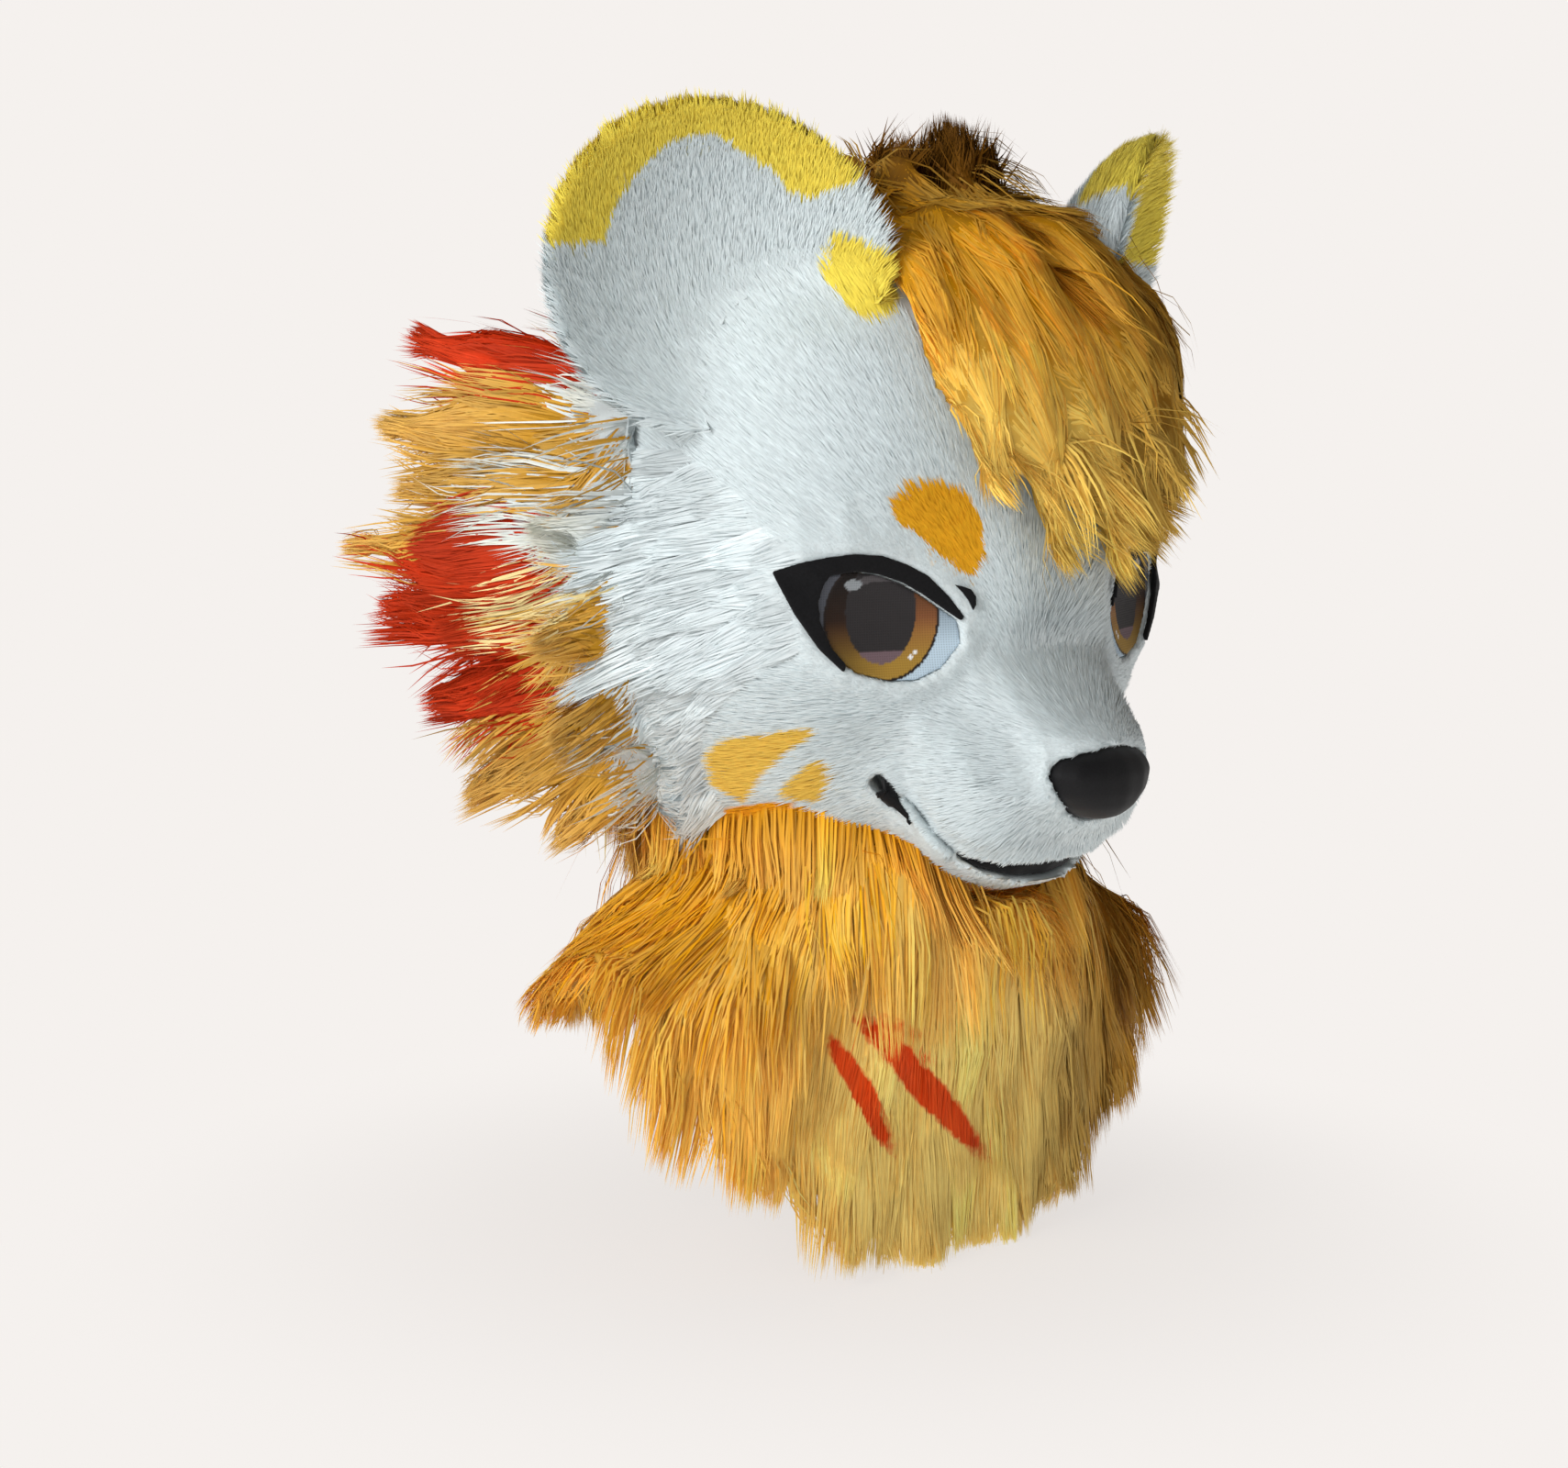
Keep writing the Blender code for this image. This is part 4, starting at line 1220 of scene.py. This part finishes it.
back_skin = skin_of("back_fur", even_sink(0.004), smoothing=6)
furred(back_skin, hair_colour, 0.65, hair_finish)
roots, normals = roots_on(back_skin, 10000, 61, back_keep)
plant("back_hair", roots, normals, downwards, 0.058, 0.0013, hair_colour, hair_finish, seed=62, lift=0.3,
      root_dark=0.8, steps=3, settle=0.3, clumps=260, clumping=0.5, locks_share=0.6,
      tree=tree_of([back_skin]))

# %% [markdown]
# ## Bib
#
# The bib's fur is the longest, and hangs straight down over the shoulders and the chest. It is orange at
# the neck and pale gold below. Two red slashes are dyed into it on the chest.

# %% Bib fur
# each slash: x and z of its two ends and half its breadth, in millimetres
SLASHES = (((-90, -337), (-52, -393), 5), ((-74, -331), (6, -405), 7))
SLASH_DYE = (0.86, 0.12, 0.05, 1)


def bib_colour(points):
    """Orange at the neck, pale gold below, orange for longer at the sides, and darkened by painted shade on
    the far side.
    """
    rng = np.random.default_rng(len(points))
    depth = np.clip((-0.272 - points[:, 2]) / 0.075, 0, 1)
    aside = np.clip((np.abs(points[:, 0]) - 0.06) / 0.07, 0, 1)
    gold = np.clip(depth * (1 - 0.6 * aside) + rng.normal(0, 0.1, len(points)), 0, 1)[:, None]
    # painted shade: towards the far side the bib is mixed towards brown
    brown_and_far_shade = np.clip((points[:, 0] - 0.03) / 0.10, 0, 0.5)[:, None]
    return between(between(linear(BIB_ORANGE), linear(BIB_GOLD), gold), linear(HAIR_DARK), brown_and_far_shade)


def dye_stroke(material, start, end, breadth):
    """Dyes a slender stroke into a fur material, as seen from the front of the chest."""
    nodes, links = material.node_tree.nodes, material.node_tree.links
    shader = nodes["Principled BSDF"]
    plain = shader.inputs["Base Color"].links[0].from_socket
    start, end = np.array(start) / 1000, np.array(end) / 1000
    middle, span = (start + end) / 2, end - start
    place = add_node(nodes, "TexCoord")
    stroke = add_node(nodes, "Mapping", {
        "Location": (middle[0], 0, middle[1]),
        "Rotation": (0, math.atan2(-span[1], span[0]), 0),
        "Scale": (np.linalg.norm(span) / 2, 10, breadth / 1000),
    }, vector_type="TEXTURE")
    reach = add_node(nodes, "VectorMath", operation="LENGTH")
    ragged = add_node(nodes, "TexNoise", {"Scale": 300})
    reach_ragged = add_node(nodes, "Math", {1: 0.5}, operation="MULTIPLY_ADD")
    edge = add_node(nodes, "MapRange", {"From Min": 1.15, "From Max": 1.4, "To Min": 1, "To Max": 0})
    apart = add_node(nodes, "SeparateXYZ")
    front = add_node(nodes, "Math", {1: 0}, operation="LESS_THAN")
    both = add_node(nodes, "Math", operation="MULTIPLY")
    dye = add_node(nodes, "Mix", {"B": SLASH_DYE}, data_type="RGBA", blend_type="MULTIPLY")
    wire(
        links,
        (place, "Object", stroke, "Vector"),
        (stroke, "Vector", reach, 0),
        (place, "Object", ragged, "Vector"),
        (ragged, "Fac", reach_ragged, 0),
        (reach, "Value", reach_ragged, 2),
        (reach_ragged, 0, edge, "Value"),
        (place, "Object", apart, 0),
        (apart, "Y", front, 0),
        (edge, "Result", both, 0),
        (front, 0, both, 1),
        (both, 0, dye, "Factor"),
        (dye, "Result", shader, "Base Color"),
    )
    links.new(plain, dye.inputs["A"])


bib_finish = fur_material("bib_hair", sheen=0.0, roughness=0.6)
for start, end, breadth in SLASHES:
    dye_stroke(bib_finish, start, end, breadth)

bib_skin = skin_of("bib", even_sink(0.0035), voxel=0.0032, smoothing=6)
furred(bib_skin, bib_colour, 0.65, bib_finish)

# %% Hem
# the bib's lower edge, as the solid's lowest point near each of these turns
TURN_STEP = 10
node_points, _ = points_and_normals(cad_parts["bib"])
node_turns = turns_of(node_points)
hem_turns = np.arange(-180, 181, TURN_STEP)
hem_heights = np.array([
    node_points[np.abs((node_turns - turn + 180) % 360 - 180) < TURN_STEP, 2].min() for turn in hem_turns
])
print("hem from", hem_heights.min().round(3), "to", hem_heights.max().round(3))


# %% Bib fibres
# a flat band inside the bib, from shoulder to shoulder and from far below to far above
SHOULDER_LINE = ((-0.09, 0, -1), (0.09, 0, 1))


def bib_keep(points, normals):
    """The outer side, but not the wall that faces the shoulders."""
    outer = dot(normals, unit(points - np.clip(points, *SHOULDER_LINE))) > -0.1
    outer[outer] = open_air(points[outer], normals[outer], shell, 0.004)
    return outer


def bib_flow(points):
    """Down, and outwards all round."""
    return np.tile((0.0, 0.0, -1.0), (len(points), 1)) + points * (1.6, 0.8, 0)


roots, normals = roots_on(bib_skin, 24500, 71, bib_keep)
left = roots[:, 2] - np.interp(turns_of(roots), hem_turns, hem_heights)
plant("bib_hair", roots, normals, bib_flow, np.clip(left + 0.010, 0.016, 0.066), 0.0012, bib_colour,
      bib_finish, seed=72, lift=0.14, root_dark=0.82, steps=3, settle=0.4, unrest=0.05, clumps=280,
      locks_share=0.5, tree=tree_of([bib_skin]))

# %% [markdown]
# ## Neck
#
# Under the jaw and round the back of the neck the bib's orange fur begins on the head itself. It is long
# enough to fall over the bib's upper edge, so that the two are one.


# %% Neck fur
def neck_keep(points, normals):
    """The head's outside below the neck line, down to where the bib covers it."""
    azimuth, elevation = angles(points)
    stays = (elevation < neck_line(azimuth)) & (points[:, 2] > -0.275) & (outward_share(points, normals) > 0)
    stays[stays] = (points[stays, 1] > 0.01) | open_air(points[stays], normals[stays], shell, 0.03)
    return stays


def neck_flow(points):
    """Down and outwards, over the bib's edge."""
    return np.tile((0.0, 0.0, -1.0), (len(points), 1)) + points * (4.0, 4.0, 0)


roots, normals = roots_on(head_skin, 7000, 27, neck_keep)
plant("neck_hair", roots, normals, neck_flow, 0.046, 0.0012, bib_colour, bib_finish, seed=28, lift=0.2,
      root_dark=0.8, steps=3, settle=0.3, clumps=110, tip=BIB_GOLD, tip_share=0.6, tree=tree_of([bib_skin]),
      over=True)

# %% [markdown]
# ## Lids and mouth lining
#
# The lids are black felt, cut with an outer wing. A felt edge is soft but has no long fibres, so a remesh
# and a smooth pass on the solid's own form are enough. The lining behind the lips is the same felt.


# %% Felt pieces
def cloth_piece(node, name, finish, voxel, smoothing):
    """A piece of cloth in the place of a solid, remeshed evenly and smoothed."""
    piece = merged_copy(node, name)
    soften(piece, voxel, smoothing)
    select_only(piece)
    bpy.ops.object.shade_smooth()
    piece.data.materials.clear()
    piece.data.materials.append(finish)
    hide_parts(node)
    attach(piece, "root")
    print(name, len(piece.data.polygons), "faces")
    return piece


for side in ("left", "right"):
    cloth_piece("eyeliner_" + side, "lid_felt_" + side, felt_finish, 0.0008, 4)
cloth_piece("mouth_lining", "mouth_felt", felt_finish, 0.0016, 5)

# %% [markdown]
# ## Felt marks
#
# Over the inner end of each lid lies a small black mark, and another at each corner of the mouth, whose thin
# tail is a painted shadow of the crease between the lips. They are thin felt, cut as flat outlines in the
# head's two angles, divided finely, and pressed on the head. Beside the mouth's corners a strip made the same
# way closes the gap between the lips, and has the head's white pile.


# %% Marks pressed on the head
LID_MARK = (
    (29.6, -5.2), (27.7, -5.6), (26.0, -6.2), (24.7, -7.8), (24.6, -9.6), (25.2, -10.8), (26.4, -8.6),
    (27.8, -6.9),
)
# middle line of the black corner of the mouth, with half its breadth in degrees; its thin front end is a
# painted shadow of the crease between the lips
MOUTH_CORNER = (
    (46.8, -45.7, 0.3), (44.6, -45.8, 1.1), (41.4, -47.2, 1.0), (38.6, -49.1, 0.5), (36.6, -50.4, 0.15),
)
# middle line of the stretch where the two lips' fur meets
LIP_SEAM = (
    (39.5, -48.5, 1.6), (36.2, -50.5, 2.0), (33.5, -51.6, 2.0), (30.5, -52.0, 1.8), (28.0, -52.0, 0.9),
)


def strip(line):
    """The outline of a strip, from its middle line and half its breadth."""
    return [(a, e + b) for a, e, b in line] + [(a, e - b) for a, e, b in reversed(line)]


def pressed_shape(name, outline, side, stand, across):
    """A thin shape on the head. outline is in azimuth and elevation, stand how far off the solid it lies, and
    across how many degrees above and below itself a place looks for the head's surface, to bridge a gap."""
    bpy.ops.object.select_all(action="DESELECT")
    bpy.ops.mesh.primitive_circle_add(vertices=len(outline), fill_type="NGON")
    shape = bpy.context.object
    shape.name = shape.data.name = name
    for vertex, corner in zip(shape.data.vertices, outline):
        vertex.co = (*corner, 0)
    bpy.ops.object.mode_set(mode="EDIT")
    bpy.ops.mesh.select_all(action="SELECT")
    bpy.ops.mesh.quads_convert_to_tris()
    bpy.ops.mesh.subdivide(number_cuts=5)
    bpy.ops.object.mode_set(mode="OBJECT")
    for vertex in shape.data.vertices:
        hits = []
        for shift in (-across, across):
            away = head_place(vertex.co.x, vertex.co.y + shift, 0.3) * (side, 1, 1)
            hits.append(shell.ray_cast(Vector(away), Vector(HEAD_MIDDLE - away)))
        vertex.co = (hits[0][0] + hits[1][0]) / 2 + (hits[0][1] + hits[1][1]).normalized() * stand
    apply_modifier(shape, "SOLIDIFY", thickness=0.0016, offset=0.0)
    bpy.ops.object.mode_set(mode="EDIT")
    bpy.ops.mesh.select_all(action="SELECT")
    bpy.ops.mesh.normals_make_consistent(inside=False)
    bpy.ops.object.mode_set(mode="OBJECT")
    bpy.ops.object.shade_smooth()
    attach(shape, "root")
    print(name, len(shape.data.polygons), "faces")
    return shape


def lip_keep(points, normals):
    """The outer side."""
    return outward_share(points, normals) > 0.2


for side, word in ((-1, "right"), (1, "left")):
    mark = pressed_shape("lid_mark_" + word, LID_MARK, side, 0.0022, 0.0)
    mark.data.materials.append(felt_finish)
    corner = pressed_shape("mouth_corner_" + word, strip(MOUTH_CORNER), side, 0.0026, 3)
    corner.data.materials.append(felt_finish)
    lips = pressed_shape("lip_seam_" + word, strip(LIP_SEAM), side, -0.0006, 4)
    furred(lips, white_colour, 0.9, pile_finish)
    roots, normals = roots_on(lips, 3000, 81 + side, lip_keep)
    plant("lip_pile_" + word, roots, normals, roots - NOSE_TIP, 0.004, 0.0009, head_colour, pile_finish,
          seed=83 + side, **PILE)

# %% [markdown]
# ## Eyes
#
# A printed mesh has the whole eye on one flat cloth: the iris, a dark pupil that the wearer sees through,
# and the pale ball round it. The drawing is made of simple shapes, laid one over the other in the eye's own
# plane, with painted shade under the lid and on the eye's outer side, and a painted reflection on the pupil.


# %% Drawing of the eye
PRINT_BLACK = (18, 16, 18)
# the grey of the painted shade on the ball's outer side
BALL_SHADE_GREY = (85, 88, 96)
BALL_PALE = (190, 211, 226)
IRIS_BROWN = (142, 88, 50)
IRIS_GOLD = (166, 130, 52)
IRIS_EDGE = (34, 24, 20)
IRIS_RADIUS = 27.2
PUPIL_DARK = (44, 41, 42)
PUPIL_LOW = (112, 92, 98)
PUPIL_LINE = -13.8
SHEEN_GREY = (84, 80, 82)
GLINT_GREY = (150, 156, 160)
GLINT_WHITE = (240, 240, 238)


def ellipse(u, v, u0, v0, ru, rv):
    """Below 1 inside an ellipse with this middle and these radii."""
    return np.hypot((u - u0) / ru, (v - v0) / rv)


def eye_drawing(u, v):
    """The print's colour at places in the eye's plane, in millimetres, with painted shade and reflection."""
    # painted shade: the ball darkens towards the top, under the lid
    colour = linear(BALL_PALE) * np.clip((18 - v) / 30, 0.55, 1)[:, None]
    radius = np.hypot(u - 1, v)
    colour[(radius > 27) & (radius < 29) & (u > 4)] = linear(PRINT_BLACK)
    # painted shade: a grey crescent on the ball's outer side, beside the iris
    colour[(radius > IRIS_RADIUS) & (radius < 32.5) & (u > 15) & (v > -9)] = linear(BALL_SHADE_GREY)
    iris = radius < IRIS_RADIUS
    low = np.clip((0 - v) / 18, 0, 1)[:, None]
    # painted shade: the iris is darker on its outer side, less so low down
    outer = np.clip((u + 3) / 18, 0, 1)[:, None]
    tone = between(linear(IRIS_BROWN), linear(IRIS_GOLD), low) * (1 - 0.9 * outer * (1 - low * 0.55))
    tone = tone * np.clip((22 - v) / 28, 0.16, 1)[:, None]
    colour[iris] = tone[iris]
    colour[iris & (radius > 26)] = linear(IRIS_EDGE)
    pupil = ellipse(u, v, 1, 3, 16.6, 22.3) < 1
    colour[pupil & (v > PUPIL_LINE)] = linear(PUPIL_DARK)
    colour[pupil & (v <= PUPIL_LINE)] = linear(PUPIL_LOW)
    # a painted reflection: a paler band across the upper part of the pupil
    colour[pupil & (np.abs(v - 17.5 + 0.02 * (u - 1) ** 2) < 1.6)] = linear(SHEEN_GREY)
    colour[ellipse(u, v, 14.3, 14.6, 4.0, 2.3) < 1] = linear(GLINT_GREY)
    for u0, v0 in ((-12.75, -16.9), (-15, -14.9)):
        colour[ellipse(u, v, u0, v0, 1.0, 1.0) < 1] = linear(GLINT_WHITE)
    return colour


# %% Printed mesh
def print_material():
    """Printed cloth: the drawing, with a fine square weave in relief and in tone."""
    finish = {"Roughness": 0.6, "Specular IOR Level": 0.3}
    material, nodes, links, shader = new_material("printed_mesh", finish)
    drawing = add_node(nodes, "Attribute", attribute_name="fur_colour")
    place = add_node(nodes, "TexCoord")
    warp = add_node(nodes, "TexWave", {"Scale": 300}, bands_direction="X")
    weft = add_node(nodes, "TexWave", {"Scale": 300}, bands_direction="Z")
    crossing = add_node(nodes, "Math", operation="MULTIPLY")
    span = add_node(nodes, "MapRange", {"To Min": 1.05, "To Max": 0.72})
    tone = add_node(nodes, "Mix", {"Factor": 1}, data_type="RGBA", blend_type="MULTIPLY")
    bump = add_node(nodes, "Bump", {"Strength": 0.3, "Distance": 0.0003})
    wire(
        links,
        (place, "Object", warp, "Vector"),
        (place, "Object", weft, "Vector"),
        (warp, "Fac", crossing, 0),
        (weft, "Fac", crossing, 1),
        (crossing, 0, span, "Value"),
        (drawing, "Color", tone, "A"),
        (span, "Result", tone, "B"),
        (tone, "Result", shader, "Base Color"),
        (crossing, 0, bump, "Height"),
        (bump, "Normal", shader, "Normal"),
    )
    return material


print_finish = print_material()
for side in ("left", "right"):
    panel = cloth_piece("eye_panel_" + side, "eye_print_" + side, print_finish, 0.0008, 0)
    points, _ = points_and_normals(panel)
    put_colours(panel.data, eye_drawing(*on_eye(points)))

# %% [markdown]
# ## Nose
#
# The nose is a foam pad under smooth black cloth. The solid's form is remeshed finely and smoothed, so that
# the cloth looks drawn over it.

# %% Nose pad
nose_finish = felt_material("nose_cloth", (16, 16, 18), roughness=0.62, sheen=0.08, grain=1500, depth=0.15)
nose_pad = cloth_piece("nose", "nose_pad", nose_finish, 0.0012, 24)

# %% [markdown]
# ## How much was made
#
# Many fibres make heavy meshes, so the triangles of the eight heaviest are printed, and the sum of all.

# %% Triangle count
made = {
    obj.name: len(triangles_of(obj)) for obj in bpy.data.objects
    if obj.type == "MESH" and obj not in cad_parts.values() and obj.name != "floor"
}
for name, count in sorted(made.items(), key=lambda pair: -pair[1])[:8]:
    print(name, count)
print("triangles in all:", sum(made.values()))

# %% [markdown]
# ## Sizes
#
# The solids' box is printed. The dressed head has to stay as large as its solids, give or take the fluff.

# %% Print the solids' box
print("cad", np.round(cad_box, 4).tolist())
